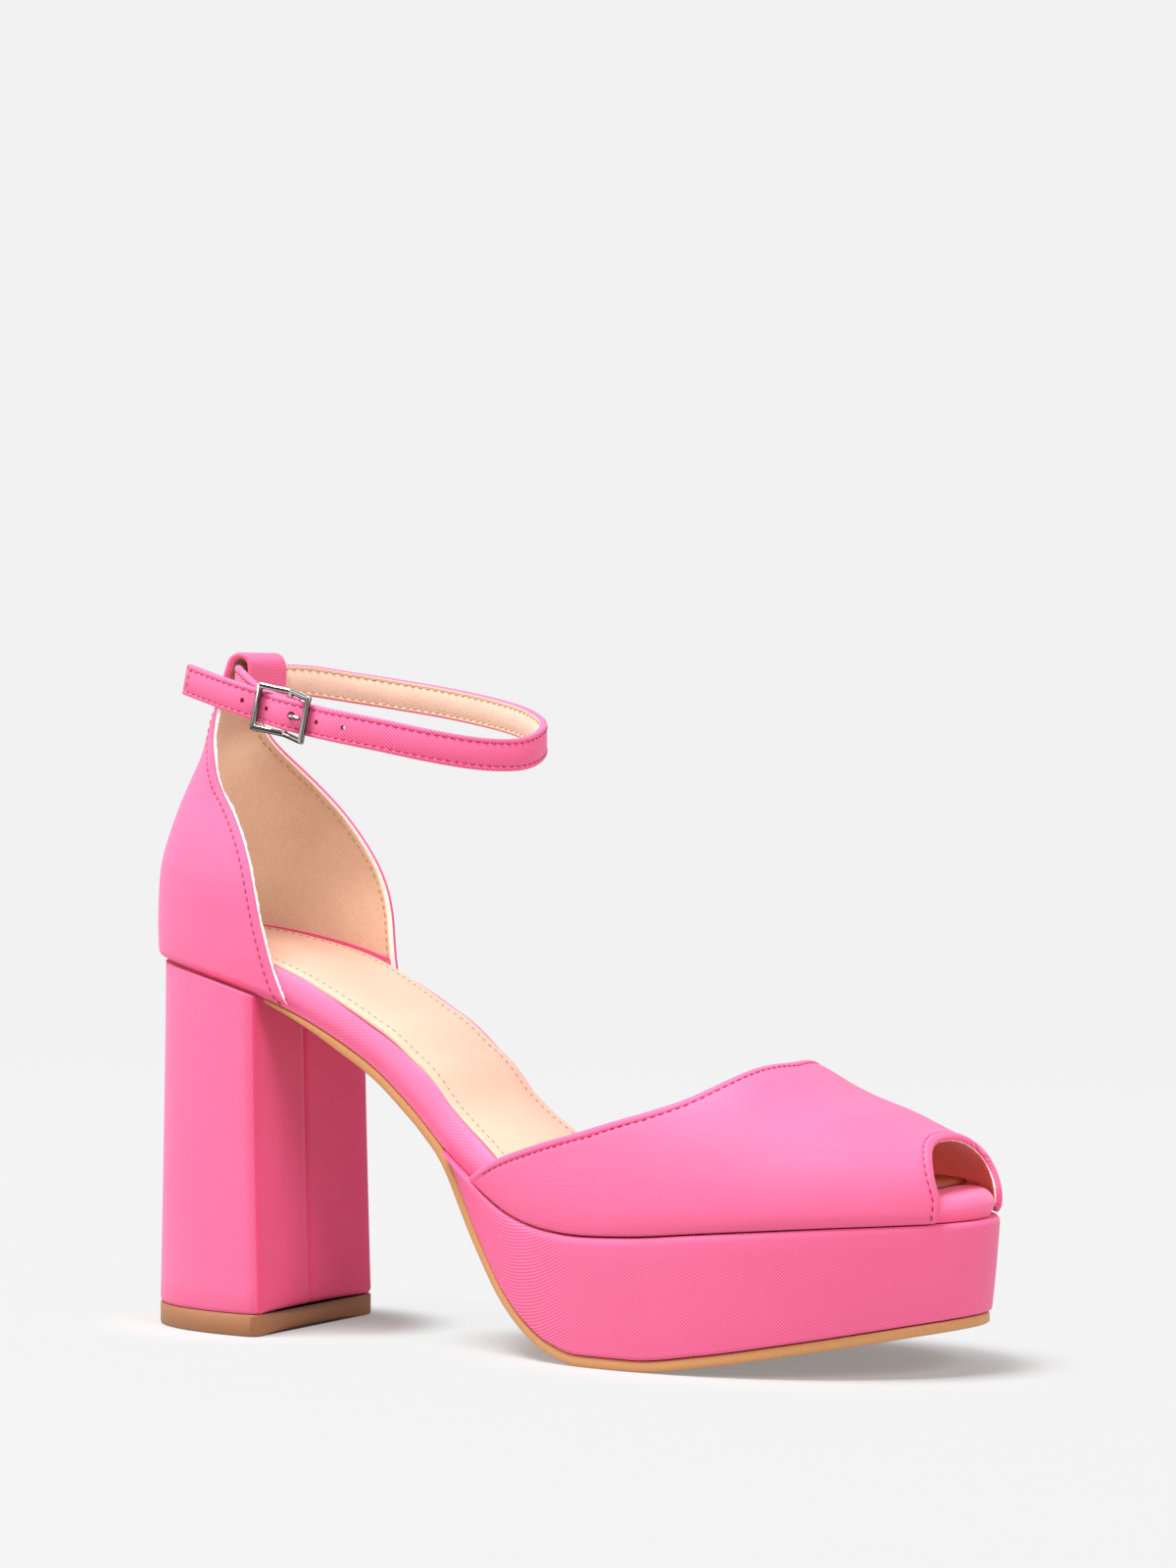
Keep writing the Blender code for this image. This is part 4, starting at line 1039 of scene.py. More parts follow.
def make_insock():
    """Pale sheet glued on the footbed."""
    loop, count = insock_plan()
    profile = ((0.0001, 0.0), (0.0, 0.3), (0.0001, 0.8), (0.0004, 1.0))
    layers = [(inset, footbed_at(1.0, GAP + INSOCK_THICK * share)) for inset, share in profile]
    return settle(slab("insock_sheet", loop, count, layers, "insock"), "insock", "insock")


def make_platform():
    """Twill-covered block under the forefoot."""
    loop, count = plan_loop(PLATFORM_REAR, SHOE_LENGTH, False, True)
    profile = [(PLATFORM_TAPER * part + ease, share) for part, ease, share in PLATFORM_PROFILE]
    layers = [(inset - PLATFORM_PROUD, between(platform_under, platform_top, share)) for inset, share in profile]
    return settle(slab("platform_cover", loop, count, layers, "twill"), "pink_twill", "platform")


def make_outsole():
    """Tan sole unit, from the heel's breast, where it is skived thin, to the toe."""
    start = HEEL_DEPTH + GAP

    def under(x):
        grown = min(1.0, SKIVED_SHARE + (1 - SKIVED_SHARE) * (x - start) / SKIVED_LENGTH)
        return sole_top(x) - grown * (sole_top(x) - sole_under(x))

    loop, count = plan_loop(start, SHOE_LENGTH, False, True)
    profile = ((0.0006, 0.0), (0.0002, 0.06), (0.0, 0.16), (0.0, 0.80), (0.0002, 0.94), (0.0005, 1.0))
    layers = [(OUTSOLE_INSET + inset, between(under, sole_top, share)) for inset, share in profile]
    return settle(slab("outsole_unit", loop, count, layers, "sole"), "sole_tan", "outsole")


# Heel


def heel_plan(flare, inset, seam):
    """Plan of the heel: a full round back, straight sides and a hollow breast, with a seam down its middle."""
    back = HEEL_BACK_INSET - flare + inset
    front = HEEL_DEPTH + flare - inset
    half = HEEL_HALF_WIDTH - inset
    corner_round = HEEL_CORNER_ROUND
    sides = []
    steps = 40
    for k in range(1, steps + 1):
        x = back + (front - corner_round - back) * (k / steps) ** 2
        sides.append((x, half * rounded((x - back) / HEEL_CUP_LENGTH, HEEL_FULLNESS)))
    end, side_end = sides[-1]
    for k in range(1, 7):
        turn = math.radians(15 * k)
        sides.append((end + corner_round * math.sin(turn), side_end - corner_round * (1 - math.cos(turn))))
    breast = []
    reach = sides[-1][1]
    marks = [reach * k / 10 for k in range(1, 10)]
    seam_marks = [HEEL_SEAM_WIDTH * k / 2 for k in (-2, -1, 0, 1, 2)]
    for y in [-mark for mark in marks[::-1]] + seam_marks + marks:
        hollow = HEEL_BREAST_HOLLOW * math.cos(math.pi / 2 * y / reach)
        notch = seam * max(0.0, 1 - abs(y) / HEEL_SEAM_WIDTH)
        breast.append((front - hollow - notch, y))
    return [(back, 0.0)] + [(x, -y) for x, y in sides] + breast + sides[::-1]


def heel_solid(name, levels, finishes):
    """A piece of the heel from levels of a flare, an inset, a seam depth and a height(x)."""
    rings = [[(x, y, height(x)) for x, y in heel_plan(flare, inset, seam)] for flare, inset, seam, height in levels]
    size = len(rings[0])
    points = [p for ring in rings for p in ring]
    plan = np.array([(p[0], p[1]) for p in rings[0]])
    girth = girth_of(plan)
    breast_from = HEEL_DEPTH - HEEL_BREAST_HOLLOW - 0.001
    breast_half = plan[:, 1].max() - 0.0012
    faces = []
    for level, k, corners in ring_quads(len(rings), size):
        cloth = tuple((girth[k if c % size == k else k + 1], points[c][2]) for c in corners)
        # Where there is a second finish, the breast's faces take it: twill with painted shade
        breast = len(finishes) > 1 and abs(plan[k, 1]) < breast_half and plan[k, 0] > breast_from
        faces.append((corners, cloth, int(breast)))
    pairs = [(k, (size - k) % size) for k in range((size - 1) // 2 + 1)]
    for level, turn in ((0, -1), (len(rings) - 1, 1)):
        faces += cap_faces(points, size, pairs, level, turn)
    return turn_out(piece(name, points, faces, finishes, 40))


def level_at(height):
    """A height function that is the same everywhere."""
    return lambda x: height


def make_heel():
    """Twill-covered block, with painted shade on its breast, and the tan wear piece under it."""
    foot = TOP_PIECE_THICK + GAP
    steps = 14
    levels = [
        (HEEL_FLARE, ease, HEEL_SEAM_DEPTH, level_at(foot + rise))
        for ease, rise in ((0.0004, -0.0001), (0.0002, 0.0003), (0.0, 0.0009))
    ]
    for k in range(1, steps + 1):
        share = k / steps
        flare = HEEL_FLARE * (1 - share) ** 1.25
        levels.append((flare, 0.0, HEEL_SEAM_DEPTH, between(level_at(foot), platform_top, share)))
    block = heel_solid("heel_cover", levels, ["twill", "painted_shade_twill"])
    rises = ((0.0006, 0.0), (0.0002, 0.0002), (0.0, 0.0006), (0.0, TOP_PIECE_THICK - 0.0003), (0.0002, TOP_PIECE_THICK))
    wear = heel_solid("heel_lift", [(HEEL_FLARE, ease, 0.0, level_at(rise)) for ease, rise in rises], ["heel_lift"])
    settle(block, "pink_twill", "heel_block")
    settle(wear, "sole_tan", "heel_top_piece")


# Upper


def vamp_point(x, across):
    """A point of the vamp's inner face. across runs from -1 at the outer feather edge over the crest to 1."""
    side = -1 if across < 0 else 1
    turn = abs(across) * math.pi / 2
    half = half_width(x, side)
    rise = VAMP_CREST * CREST_AT(x)
    bulge = VAMP_BULGE * 3 * math.sin(turn) ** 3 * math.cos(turn)
    y = side * (half * math.sin(turn) ** (2 / VAMP_SIDE_FULLNESS) + bulge)
    z = footbed_under(x) + rise * max(math.cos(turn), 0.0) ** (2 / VAMP_TOP_FULLNESS)
    return (x, y, z)


def vamp_margin(xs, turns):
    """How far along the foot a line lies that runs at the stitches' margin from an edge of the vamp."""
    sizes = bpy.context.scene.pump_sizes
    edge = np.array([vamp_point(x, across) for x, across in zip(xs, turns)])
    rims = np.gradient(edge, axis=0)
    reach = []
    for x, across, place, rim in zip(xs, turns, edge, rims):
        ahead = (np.array(vamp_point(x + 0.001, across)) - place) / 0.001
        square = np.linalg.norm(ahead - unit(rim) * float(ahead @ unit(rim)))
        reach.append(sizes.stitch_margin / max(square, 0.4))
    return reach


def vamp_faces():
    """Inner and outer faces of the vamp as grids: lines from the topline to the toe opening, over the foot.

    The cloth swells between each edge and its stitches, and is drawn in a little under them.
    """
    across_steps = 36
    turns = [2 * c / across_steps - 1 for c in range(across_steps + 1)]
    places = column(VAMP_EDGES, EDGE_COLUMNS, "across")
    edge_back = curve_through(places, column(VAMP_EDGES, EDGE_COLUMNS, "back"))
    edge_ahead = curve_through(places, column(VAMP_EDGES, EDGE_COLUMNS, "ahead"))
    rears = [VAMP_PEAK - (VAMP_PEAK - VAMP_REAR) * edge_back(abs(across)) for across in turns]
    feet = [TOE_OPENING_FOOT + (TOE_OPENING_SKEW if across > 0 else 0.0) for across in turns]
    fronts = [
        TOE_OPENING_TOP + (foot - TOE_OPENING_TOP) * edge_ahead(abs(across)) for foot, across in zip(feet, turns)
    ]
    rear_margin = vamp_margin(rears, turns)
    front_margin = vamp_margin(fronts, turns)
    middle_steps = 18
    base = np.zeros((2 * len(HEM) + middle_steps - 1, across_steps + 1, 3))
    swell = np.zeros(base.shape[:2])
    for c, across in enumerate(turns):
        start = [rears[c] + part * rear_margin[c] for part, rise in HEM]
        end = [fronts[c] - part * front_margin[c] for part, rise in HEM]
        between_hems = [start[-1] + (end[-1] - start[-1]) * k / middle_steps for k in range(1, middle_steps)]
        for r, x in enumerate(start + between_hems + end[::-1]):
            base[r, c] = vamp_point(x, across)
        swell[: len(HEM), c] = [rise for part, rise in HEM]
        swell[-len(HEM) :, c] = [rise for part, rise in HEM[::-1]]
    normal = grid_normals(base)
    wall = np.full(base.shape[:2], UPPER_WALL) + swell
    wall[:, [0, -1]] = UPPER_WALL * 0.6
    return base + normal * GAP, base + normal * (GAP + wall[:, :, None])


def make_vamp():
    """Forefoot piece of twill on a lining, its edges turned in."""
    inner, outer = vamp_faces()
    slots = ((0, 0, 0, 0), (0, 0, 0, 2))
    # The vamp's lining finish carries painted shade and painted pink bounce light
    made = folded_wall("vamp_upper", inner, outer, ["vamp_twill", "vamp_lining_painted_shade", "raw_edge"], slots, 0.55)
    smooth_form(made, 2)
    return settle(made, "pink_twill", "vamp")


def quarter_point(up, around):
    """A point of the quarter's inner face. around runs from -1 at the outer front edge round the back to 1."""
    side = -1 if around < 0 else 1
    back = QUARTER_CURVES["back"](up) * QUARTER_LENGTH
    front = QUARTER_CURVES["outer_front" if side < 0 else "inner_front"](up) * QUARTER_LENGTH
    x = back + (front - back) * around**2
    reach = (x - back) / (QUARTER_CURVES["cup"](up) * HEEL_CUP_LENGTH)
    y = side * full_width(x, side) * QUARTER_CURVES["half"](up) * rounded(reach, HEEL_FULLNESS)
    z = footbed_under(x) * (1 - up) + (SEAT_HEIGHT + QUARTER_HEIGHT) * up
    return (x, y, z)


def tab_line():
    """Inner face of the tab from the quarter's top: up, over and down again, as (x, z) from the quarter's top."""
    radius = TAB_LOOP_RADIUS
    centre = (TAB_LEAN + radius, TAB_LOOP_HEIGHT)
    line = [(TAB_LEAN * k / 6, TAB_LOOP_HEIGHT * k / 6) for k in (1, 2, 3, 4, 5)]
    for k in range(9):
        turn = math.pi * (1 - k / 8)
        line.append((centre[0] + radius * math.cos(turn), centre[1] + radius * math.sin(turn)))
    front = centre[0] + radius
    for back, down in ((0.01, 0.22), (0.03, 0.45), (0.12, 0.72), (0.32, 0.92), (0.62, 1.06)):
        line.append((front - TAB_LEAN * back, TAB_LOOP_HEIGHT * (1 - down)))
    return line


def foot_level(up, around):
    """Height share of a point of the quarter. The row at WRAP_ROW follows the insock instead."""
    if up != WRAP_ROW:
        return up
    x = quarter_point(up, around)[0]
    under = footbed_under(x)
    return (footbed_at(1.0, INSOCK_THICK + GAP + 0.0005)(x) - under) / (SEAT_HEIGHT + QUARTER_HEIGHT - under)


def quarter_faces():
    """Inner and outer faces of the quarter as grids: lines from its outer front edge round the back, upwards."""
    count = 32
    turns = [2 * c / count - 1 for c in range(count + 1)]
    rows = [[quarter_point(foot_level(up, around), around) for around in turns] for up in QUARTER_ROWS]
    top = np.array(rows[-1])
    middle = top[count // 2]
    narrow = TAB_WIDTH / (top[-1, 1] - top[0, 1])
    for x, z in tab_line():
        row = top.copy()
        row[:, 0] += x
        row[:, 1] *= narrow
        row[:, 2] = middle[2] + z
        rows.append([tuple(p) for p in row])
    base = np.array(rows)
    normal = grid_normals(base)
    base[0] -= normal[0] * HEM_TUCK * 0.4
    wall = np.full(base.shape[:2], UPPER_WALL)
    wall[0] = UPPER_WALL * 0.6
    inner = base + normal * GAP
    outer = base + normal * (GAP + wall[:, :, None])
    return np.swapaxes(inner, 0, 1), np.swapaxes(outer, 0, 1)


def make_quarter():
    """Heel cup of twill on a soft lining, with the tab that folds over as a loop."""
    inner, outer = quarter_faces()
    slots = ((0, 0, 2, 2), (0, 0, 0, 2))
    cup_rows = len(QUARTER_ROWS)
    made = folded_wall(
        "quarter_upper", inner, outer, ["twill", "lining", "raw_edge"], slots, 0.40, cup_rows - 1,
        QUARTER_ROWS.index(WRAP_ROW),
    )
    smooth_form(made, 2)
    return settle(made, "pink_twill", "quarter")


# Strap and buckle


def tab_middle():
    """Middle of the tab's loop, where the strap passes."""
    top = quarter_point(1.0, 0.0)
    return (top[0] + TAB_LEAN * 0.87 + TAB_LOOP_RADIUS, 0.0, top[2] + TAB_LOOP_HEIGHT / 2 + TAB_LOOP_RADIUS)


def strap_place(row):
    """A row of the strap's route as a point."""
    start = tab_middle()
    return np.array((start[0] + row[0] * LOOP_LENGTH, row[1] * LOOP_HALF_WIDTH, start[2] - row[2] * LOOP_DROP))


def buckle_axes():
    """Middle of the buckle's plane and its directions: along the strap to the tail, across it, and out."""
    middle = strap_place(BUCKLE_PLACE)
    along = unit(strap_place(TAIL[0]) - strap_place(STRAP[-1]))
    across = unit(np.array((0.0, 0.0, 1.0)) - along * along[2])
    out = np.cross(along, across)
    if out[1] > 0:
        out = -out
    return middle, along, across, out


def smooth_route(points, per_span):
    """Points along one smooth curve through the given ones."""
    ends = [2 * points[0] - points[1]] + list(points) + [2 * points[-1] - points[-2]]
    line = []
    for a, b, c, d in zip(ends[:-3], ends[1:-2], ends[2:-1], ends[3:]):
        for k in range(per_span):
            t = k / per_span
            bend = (2 * a - 5 * b + 4 * c - d) * t**2 + (3 * b - a - 3 * c + d) * t**3
            line.append(0.5 * (2 * b + (c - a) * t + bend))
    line.append(points[-1])
    return line


def strap_route():
    """The strap's centre line, drawn under the buckle's side bars and over its centre bar."""
    middle, along, across, out = buckle_axes()
    under_bar = BUCKLE_BAR / 2 + GAP + STRAP_THICK / 2
    over_centre = BUCKLE_SET_BACK - BUCKLE_BAR / 2 - GAP - STRAP_THICK / 2
    behind = BUCKLE_SET_BACK + BUCKLE_BAR / 2 + GAP + STRAP_THICK / 2
    side_bar = BUCKLE_LENGTH / 2 - BUCKLE_BAR / 2
    base = [middle - out * behind - along * BUCKLE_BAR, middle - out * behind + along * BUCKLE_BAR]
    inside = [strap_place(row) for row in STRAP[1:]]
    woven = [
        middle - out * under_bar - along * side_bar,
        middle - out * over_centre,
        middle - out * under_bar + along * side_bar,
    ]
    tail = [strap_place(row) for row in TAIL]
    return base + inside + woven + tail


def strap_frames():
    """Places along the strap with its directions: along, across and inward."""
    line = smooth_route(strap_route(), 8)
    frames = []
    for k, place in enumerate(line):
        along = unit(line[min(k + 1, len(line) - 1)] - line[max(k - 1, 0)])
        across = unit(np.array((0.0, 0.0, 1.0)) - along * along[2])
        frames.append((place, along, across, np.cross(along, across)))
    return frames


def strap_section():
    """The strap's section as (across, inward) with a finish for the side that follows each point."""
    half = STRAP_WIDTH / 2
    thick = STRAP_THICK / 2
    ease = STRAP_THICK * 0.36
    turns = [math.radians(22.5 * k) for k in range(5)]
    right = [(half - ease + ease * math.cos(t), thick - ease + ease * math.sin(t)) for t in turns]
    seam = half - STRAP_MARGIN
    right += [(seam + 0.00022, thick - 0.00002), (seam, thick - 0.00016), (seam - 0.00025, thick - 0.00002)]
    left = [(-a, b) for a, b in right[::-1]]
    points = right + left + [(a, -b) for a, b in left[::-1] + right[::-1]]
    slots = []
    for (a, b), (c, d) in zip(points, points[1:] + points[:1]):
        slots.append(1 if b + d > 0 and abs(a + c) / 2 < half - ease * 0.5 else 0)
    return points, slots


def make_strap():
    """Ankle strap: twill outside, lining inside, its edges rounded, with its row of holes."""
    frames = strap_frames()
    section, slots = strap_section()
    reach = strap_reach(frames)
    points = [place + across * a + inward * b for place, along, across, inward in frames for a, b in section]
    cloth = [(at, a) for at in reach for a, b in section]
    faces = tube_faces(cloth, len(section), slots, section)
    made = turn_out(piece("ankle_strap_band", points, faces, ["twill", "strap_lining", "raw_edge", "cut_edge"]))
    punch(made)
    return settle(made, "pink_twill", "ankle_strap")


def strap_reach(frames):
    """Distances along the strap to each of its places."""
    places = np.array([frame[0] for frame in frames])
    return np.concatenate(([0.0], np.cumsum(np.linalg.norm(np.diff(places, axis=0), axis=1))))


def hole_places():
    """Places of the strap's holes, their directions and widths, on both sides of the prong's hole."""
    middle, along, across, out = buckle_axes()
    over_centre = BUCKLE_SET_BACK - BUCKLE_BAR / 2 - GAP - STRAP_THICK / 2
    frames = strap_frames()
    prong = middle - out * over_centre - along * prong_place()
    places = np.array([frame[0] for frame in frames])
    later = len(frames) // 2
    nearest = later + int(np.argmin(np.linalg.norm(places[later:] - prong, axis=1)))
    reach = strap_reach(frames)
    holes = []
    for k in (-2, -1, 0, 1, 2):
        at = reach[nearest] + k * HOLE_SPACING
        i = int(np.argmin(np.abs(reach - at)))
        place = np.array([np.interp(at, reach, places[:, axis]) for axis in range(3)])
        holes.append((place, frames[i][3], PRONG_HOLE_SCALE if k == 0 else 1.0))
    return holes


def punch(strap):
    """Cuts the strap's holes."""
    shape = bmesh.new()
    for place, inward, wide in hole_places():
        turn = Vector(inward).to_track_quat("Z", "Y").to_matrix().to_4x4()
        turn.translation = to_frame(place)
        bmesh.ops.create_cone(
            shape, cap_ends=True, segments=20, radius1=HOLE_RADIUS * wide, radius2=HOLE_RADIUS * wide,
            depth=STRAP_THICK * 2.4, matrix=turn,
        )
    cutter = bpy.data.objects.new("strap_punch", bpy.data.meshes.new("strap_punch"))
    shape.to_mesh(cutter.data)
    shape.free()
    cutter.data.materials.append(finish("cut_edge"))
    bpy.context.scene.collection.objects.link(cutter)
    cut = strap.modifiers.new("holes", "BOOLEAN")
    cut.operation = "DIFFERENCE"
    cut.object = cutter
    cut.material_mode = "TRANSFER"
    graph = bpy.context.evaluated_depsgraph_get()
    punched = bpy.data.meshes.new_from_object(strap.evaluated_get(graph))
    strap.modifiers.remove(cut)
    strap.data = punched
    bpy.data.objects.remove(cutter)


def prong_place():
    """Where the prong crosses the strap, from the centre bar towards the side bar."""
    return BUCKLE_BAR / 2 + GAP + PRONG_HOLE_RADIUS + STRAP_THICK * 0.35


def make_buckle():
    """Pressed nickel frame with three bars, and its prong."""
    middle, along, across, out = buckle_axes()
    half_bar = BUCKLE_BAR / 2
    end = BUCKLE_LENGTH / 2
    rail = STRAP_WIDTH / 2 + BUCKLE_SIDE_ROOM
    lengths = (-end, -end + BUCKLE_BAR, -half_bar, half_bar, end - BUCKLE_BAR, end)
    depths = (0.0, 0.0, BUCKLE_SET_BACK, BUCKLE_SET_BACK, 0.0, 0.0)
    heights = (-rail - BUCKLE_BAR, -rail, rail, rail + BUCKLE_BAR)
    points = []
    for face in (half_bar, -half_bar):
        for length, depth in zip(lengths, depths):
            for height in heights:
                points.append(middle + along * length + across * height + out * (face - depth))
    rows = len(heights)
    size = len(lengths) * rows
    windows = ((1, 1), (3, 1))
    cells = [(i, j) for i in range(len(lengths) - 1) for j in range(rows - 1) if (i, j) not in windows]
    faces = []

    def face_of(corners):
        return (tuple(corners), tuple((points[c][0], points[c][2]) for c in corners), 0)

    for i, j in cells:
        quad = [i * rows + j, (i + 1) * rows + j, (i + 1) * rows + j + 1, i * rows + j + 1]
        faces.append(face_of(quad))
        faces.append(face_of([q + size for q in quad[::-1]]))
        for side, (di, dj) in enumerate(((0, -1), (1, 0), (0, 1), (-1, 0))):
            if (i + di, j + dj) not in cells:
                a, b = quad[side], quad[(side + 1) % 4]
                faces.append(face_of([a, a + size, b + size, b]))
    made = turn_out(piece("buckle_bars", points, faces, ["nickel"], 30))
    ease = made.modifiers.new("pressed_edges", "BEVEL")
    ease.width = 0.00045
    ease.segments = 4
    ease.limit_method = "ANGLE"
    ease.angle_limit = math.radians(40)
    settle(made, "nickel", "buckle_frame")
    make_prong(middle, along, across, out)


def make_prong(middle, along, across, out):
    """Bent pin from the centre bar through the strap's hole to the side bar, with a rounded tip."""
    foot = BUCKLE_BAR / 2 + GAP + PRONG_RADIUS
    hole = prong_place()
    tip = BUCKLE_LENGTH / 2 - BUCKLE_BAR - GAP - PRONG_RADIUS * 0.2
    route = [
        middle - along * foot - out * (BUCKLE_SET_BACK + BUCKLE_BAR / 2),
        middle - along * foot - out * BUCKLE_SET_BACK,
        middle - along * hole - out * BUCKLE_SET_BACK * 0.68,
        middle - along * hole - out * BUCKLE_SET_BACK * 0.12,
        middle - along * (hole + PRONG_RADIUS * 1.4) + out * PRONG_RADIUS * 1.2,
        middle - along * tip + out * PRONG_RADIUS * 1.2,
    ]
    line = smooth_route(route, 6)
    widths = [0.7] + [1.0] * (len(line) - 3) + [0.85, 0.45]
    made = round_tube("buckle_pin", line, lambda k: PRONG_RADIUS * widths[k], lambda way: across, 16, "nickel")
    return settle(made, "nickel", "buckle_prong")


# Stitches


def round_tube(name, route, radius_at, across_at, sides, finish_name):
    """A round cord or pin along a route. radius_at and across_at give a ring's radius and one of its axes."""
    points = []
    for k, place in enumerate(route):
        way = unit(route[min(k + 1, len(route) - 1)] - route[max(k - 1, 0)])
        one = across_at(way)
        other = np.cross(way, one)
        for i in range(sides):
            turn = 2 * math.pi * i / sides
            points.append(place + radius_at(k) * (one * math.cos(turn) + other * math.sin(turn)))
    return turn_out(piece(name, points, tube_faces([(p[0], p[2]) for p in points], sides), [finish_name]))


def edge_cord(name, line, radius, slot):
    """A lining's cut edge: a thin uneven cord along a line of places, wider where the threads have frayed."""
    route = smooth_route([np.array(place) for place in line], 5)
    last = len(route) - 1

    def radius_at(k):
        fray = 1 + 0.20 * math.sin(k * 1.9) + 0.16 * math.sin(k * 0.73 + 1.2) + 0.12 * math.sin(k * 3.7 + 0.4)
        return radius * fray * min(1.0, 0.3 + k / 4, 0.3 + (last - k) / 4)

    def across_at(way):
        return unit(np.cross(way, np.array((0.0, 1.0, 0.3))))

    return settle(round_tube(name, route, radius_at, across_at, 8, "raw_edge"), slot)


def make_lining_edges():
    """Cut edges of the linings that stand a little past the cloth: inside the toe opening and along the quarter."""
    vamp_inner, vamp_outer = vamp_faces()
    rim = vamp_inner[-1] + 0.3 * (vamp_inner[-1] - vamp_inner[-2])
    edge_cord("toe_opening_lining_edge", rim[4:-1], 0.00022, "pink_twill")
    inner, outer = quarter_faces()
    cup_rows = len(QUARTER_ROWS)
    near = inner[0, 1:cup_rows] * 0.8 + outer[0, 1:cup_rows] * 0.2
    edge_cord("quarter_lining_edge", near + np.array((0.00035, 0.0, 0.0)), 0.00040, "pink_twill")


def strap_lines():
    """Stitch lines on the strap: along both edges and across the tail, outside and inside."""
    frames = strap_frames()
    reach = strap_reach(frames)
    end = int(np.searchsorted(reach, reach[-1] - STRAP_MARGIN))
    margin = STRAP_WIDTH / 2 - STRAP_MARGIN
    face = STRAP_THICK / 2 - 0.00008

    def edge_line(side, turn):
        return [
            (place + across * margin * side + inward * face * turn, inward * turn)
            for place, along, across, inward in frames[:end]
        ]

    place, along, across, inward = frames[end - 1]
    past = place + along * (reach[-1] - STRAP_MARGIN - reach[end - 1])
    tail = [(past + across * margin * t - inward * face, -inward) for t in (-0.9, -0.3, 0.3, 0.9)]
    return [edge_line(-1, -1) + tail + edge_line(1, -1)[::-1]], [edge_line(-1, 1), edge_line(1, 1)]


def insock_line():
    """Stitch line on the insock, a little inside its edge, on both sides of the foot and round the heel."""
    loop, count = insock_plan()
    line = []
    sheet_top = footbed_at(1.0, GAP + INSOCK_THICK)
    inner = drawn_in(loop, INSOCK_STITCH_MARGIN)
    for x, y in np.concatenate((inner[count:], inner[: count - 1])):
        slope = (footbed_under(x + 0.001) - footbed_under(x - 0.001)) / 0.002
        facing = unit(np.array((-slope, 0.0, 1.0)))
        if x < VAMP_PEAK:
            line.append((np.array(eased(x, y, sheet_top(x))), facing))
    return line


def make_stitches():
    """All the sewing that shows: topline, toe opening, quarter edges, strap and insock."""
    margin = bpy.context.scene.pump_sizes.stitch_margin
    vamp_inner, vamp_outer = vamp_faces()
    vamp_lines = [beside_edge(vamp_outer, at_start, margin)[1:-1] for at_start in (True, False)]
    sew("vamp_stitches", vamp_lines, "thread", "pink_twill")
    inner, outer = quarter_faces()
    cup_rows = len(QUARTER_ROWS)
    outside = [beside_edge(outer, at_start, margin)[:cup_rows] for at_start in (True, False)]
    sew("quarter_stitches", outside, "thread", "pink_twill")
    inside = [beside_edge(inner, at_start, margin)[:cup_rows] for at_start in (True, False)]
    inside = [[(place, -facing) for place, facing in line] for line in inside]
    sew("quarter_lining_stitches", inside, "pale_thread", "pink_twill")
    outside, inside = strap_lines()
    sew("strap_stitches", outside, "thread", "pink_twill")
    sew("strap_lining_stitches", inside, "pale_thread", "pink_twill")
    sew("insock_stitches", [insock_line()], "insock_thread", "insock", length=0.0012, width=0.00045)


# Studio


def make_stage():
    """Pale floor that sweeps up behind the shoe, soft lights and the camera."""
    profile = [(-FLOOR_AHEAD, 0.0), (FLOOR_BACK - FLOOR_BEND, 0.0)]
    for k in range(1, 17):
        turn = math.pi / 2 * k / 16
        profile.append((FLOOR_BACK - FLOOR_BEND * (1 - math.sin(turn)), FLOOR_BEND * (1 - math.cos(turn))))
    profile.append((FLOOR_BACK, FLOOR_RISE))
    points = [(side * FLOOR_HALF_WIDTH, y, z) for y, z in profile for side in (-1, 1)]
    faces = [(2 * k, 2 * k + 1, 2 * k + 3, 2 * k + 2) for k in range(len(profile) - 1)]
    mesh = bpy.data.meshes.new("studio_floor")
    across, ahead = math.cos(CAMERA_YAW), math.sin(CAMERA_YAW)
    mesh.from_pydata([(x * across - y * ahead, x * ahead + y * across, z) for x, y, z in points], [], faces)
    mesh.shade_smooth()
    mesh.materials.append(finish("paper"))
    floor = bpy.data.objects.new("studio_floor", mesh)
    bpy.context.scene.collection.objects.link(floor)
    world = bpy.data.worlds.new("studio")
    bpy.context.scene.world = world
    world.use_nodes = True
    sky = world.node_tree.nodes["Background"]
    sky.inputs["Color"].default_value = (1.0, 1.0, 1.0, 1.0)
    sky.inputs["Strength"].default_value = 0.36
    for name, place, size, power in SOFTBOXES:
        add_light(name, place, size, power)
    add_camera()
    bpy.context.scene.view_settings.view_transform = "Standard"
    bpy.context.scene.view_settings.look = "None"


def add_light(name, place, size, power):
    """A square softbox aimed at the shoe."""
    data = bpy.data.lights.new(name, "AREA")
    data.shape = "SQUARE"
    data.size = size
    data.energy = power
    light = bpy.data.objects.new(name, data)
    light.location = place
    aim = Vector((0.0, 0.0, 0.06)) - Vector(place)
    light.rotation_mode = "QUATERNION"
    light.rotation_quaternion = aim.to_track_quat("-Z", "Y")
    bpy.context.scene.collection.objects.link(light)
    return light


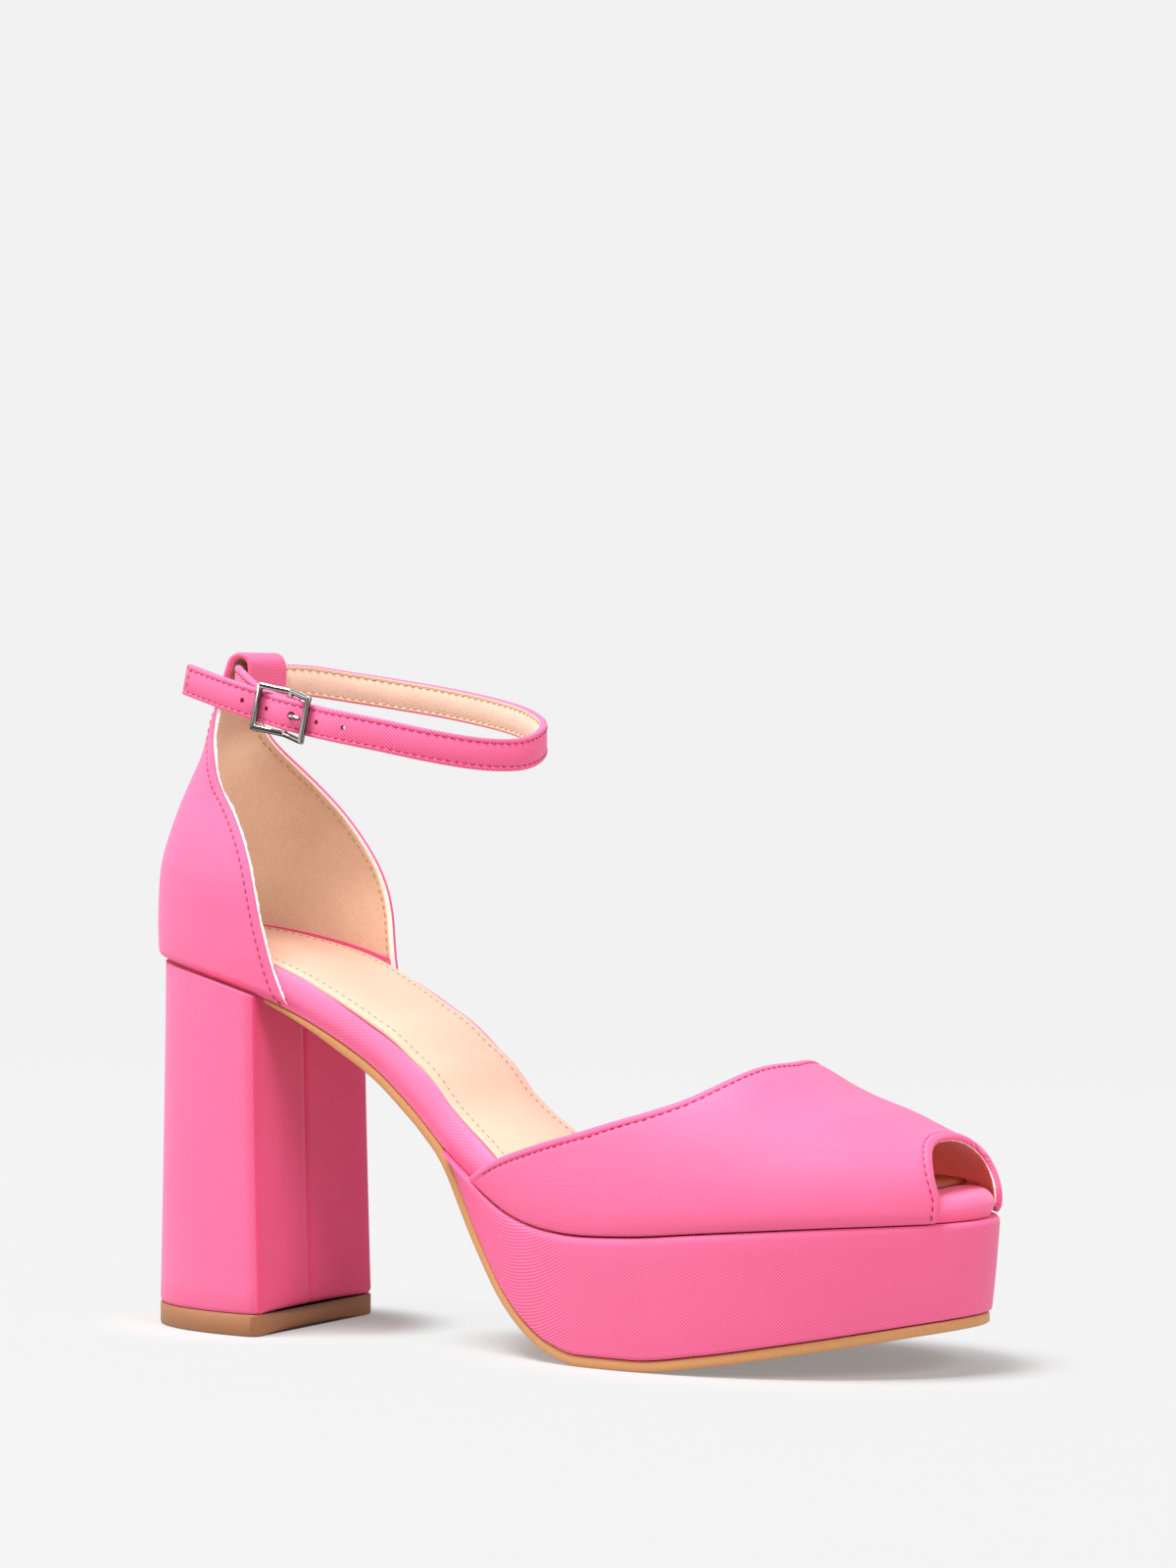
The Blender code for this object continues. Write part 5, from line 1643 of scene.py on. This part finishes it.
def add_camera():
    """The camera of the photograph's view."""
    data = bpy.data.cameras.new("camera")
    data.lens = CAMERA_LENS
    data.sensor_width = 36.0
    data.clip_start = 0.01
    data.clip_end = 20.0
    camera = bpy.data.objects.new("camera", data)
    camera.location = to_frame(CAMERA_PLACE)
    ahead = Vector((
        -math.sin(CAMERA_YAW) * math.cos(CAMERA_PITCH), math.cos(CAMERA_YAW) * math.cos(CAMERA_PITCH),
        -math.sin(CAMERA_PITCH),
    ))
    camera.rotation_mode = "QUATERNION"
    camera.rotation_quaternion = ahead.to_track_quat("-Z", "Y")
    bpy.context.scene.collection.objects.link(camera)
    bpy.context.scene.camera = camera


class PUMP_OT_bottom(bpy.types.Operator):
    """Makes the footbed, insock, platform and outsole"""

    bl_idname = "pump.bottom"
    bl_label = "Bottom pieces"

    def execute(self, context):
        make_footbed()
        make_insock()
        make_platform()
        make_outsole()
        return {"FINISHED"}


class PUMP_OT_heel(bpy.types.Operator):
    """Makes the covered heel block and its wear piece"""

    bl_idname = "pump.heel"
    bl_label = "Heel"

    def execute(self, context):
        make_heel()
        return {"FINISHED"}


class PUMP_OT_vamp(bpy.types.Operator):
    """Makes the vamp"""

    bl_idname = "pump.vamp"
    bl_label = "Vamp"

    def execute(self, context):
        make_vamp()
        return {"FINISHED"}


class PUMP_OT_quarter(bpy.types.Operator):
    """Makes the quarter and its tab"""

    bl_idname = "pump.quarter"
    bl_label = "Quarter"

    def execute(self, context):
        make_quarter()
        return {"FINISHED"}


class PUMP_OT_strap(bpy.types.Operator):
    """Makes the ankle strap"""

    bl_idname = "pump.strap"
    bl_label = "Ankle strap"

    def execute(self, context):
        make_strap()
        return {"FINISHED"}


class PUMP_OT_buckle(bpy.types.Operator):
    """Makes the buckle's bars and prong"""

    bl_idname = "pump.buckle"
    bl_label = "Buckle"

    def execute(self, context):
        make_buckle()
        return {"FINISHED"}


class PUMP_OT_stitches(bpy.types.Operator):
    """Adds the linings' cut edges and sews the stitches that show"""

    bl_idname = "pump.stitches"
    bl_label = "Stitches"

    def execute(self, context):
        make_lining_edges()
        make_stitches()
        return {"FINISHED"}


class PUMP_OT_stage(bpy.types.Operator):
    """Sets the floor, lights and camera"""

    bl_idname = "pump.stage"
    bl_label = "Stage"

    def execute(self, context):
        make_stage()
        return {"FINISHED"}


OPERATORS = (
    PUMP_OT_stage,
    PUMP_OT_bottom,
    PUMP_OT_heel,
    PUMP_OT_vamp,
    PUMP_OT_quarter,
    PUMP_OT_strap,
    PUMP_OT_buckle,
    PUMP_OT_stitches,
)


class PUMP_PT_panel(bpy.types.Panel):
    """Lists the pump's sizes, colours and pieces"""

    bl_idname = "PUMP_PT_panel"
    bl_label = "Peep toe pump"
    bl_space_type = "VIEW_3D"
    bl_region_type = "UI"
    bl_category = "Pump"

    def draw(self, context):
        for group in (context.scene.pump_sizes, context.scene.pump_colours):
            box = self.layout.box()
            for name in group.bl_rna.properties.keys():
                if name not in ("rna_type", "name"):
                    box.prop(group, name)
        for operator in OPERATORS:
            self.layout.operator(operator.bl_idname)


CLASSES = (PumpColours, PumpSizes) + OPERATORS + (PUMP_PT_panel,)


def register():
    """Adds the pump's classes and settings."""
    for made in CLASSES:
        bpy.utils.register_class(made)
    bpy.types.Scene.pump_colours = PointerProperty(type=PumpColours)
    bpy.types.Scene.pump_sizes = PointerProperty(type=PumpSizes)


def unregister():
    """Removes them again."""
    del bpy.types.Scene.pump_sizes
    del bpy.types.Scene.pump_colours
    for made in reversed(CLASSES):
        bpy.utils.unregister_class(made)


def main():
    """Builds the shoe and its studio."""
    register()
    bpy.ops.pump.stage()
    bpy.ops.pump.bottom()
    bpy.ops.pump.heel()
    bpy.ops.pump.vamp()
    bpy.ops.pump.quarter()
    bpy.ops.pump.strap()
    bpy.ops.pump.buckle()
    bpy.ops.pump.stitches()


if __name__ == "__main__":
    main()
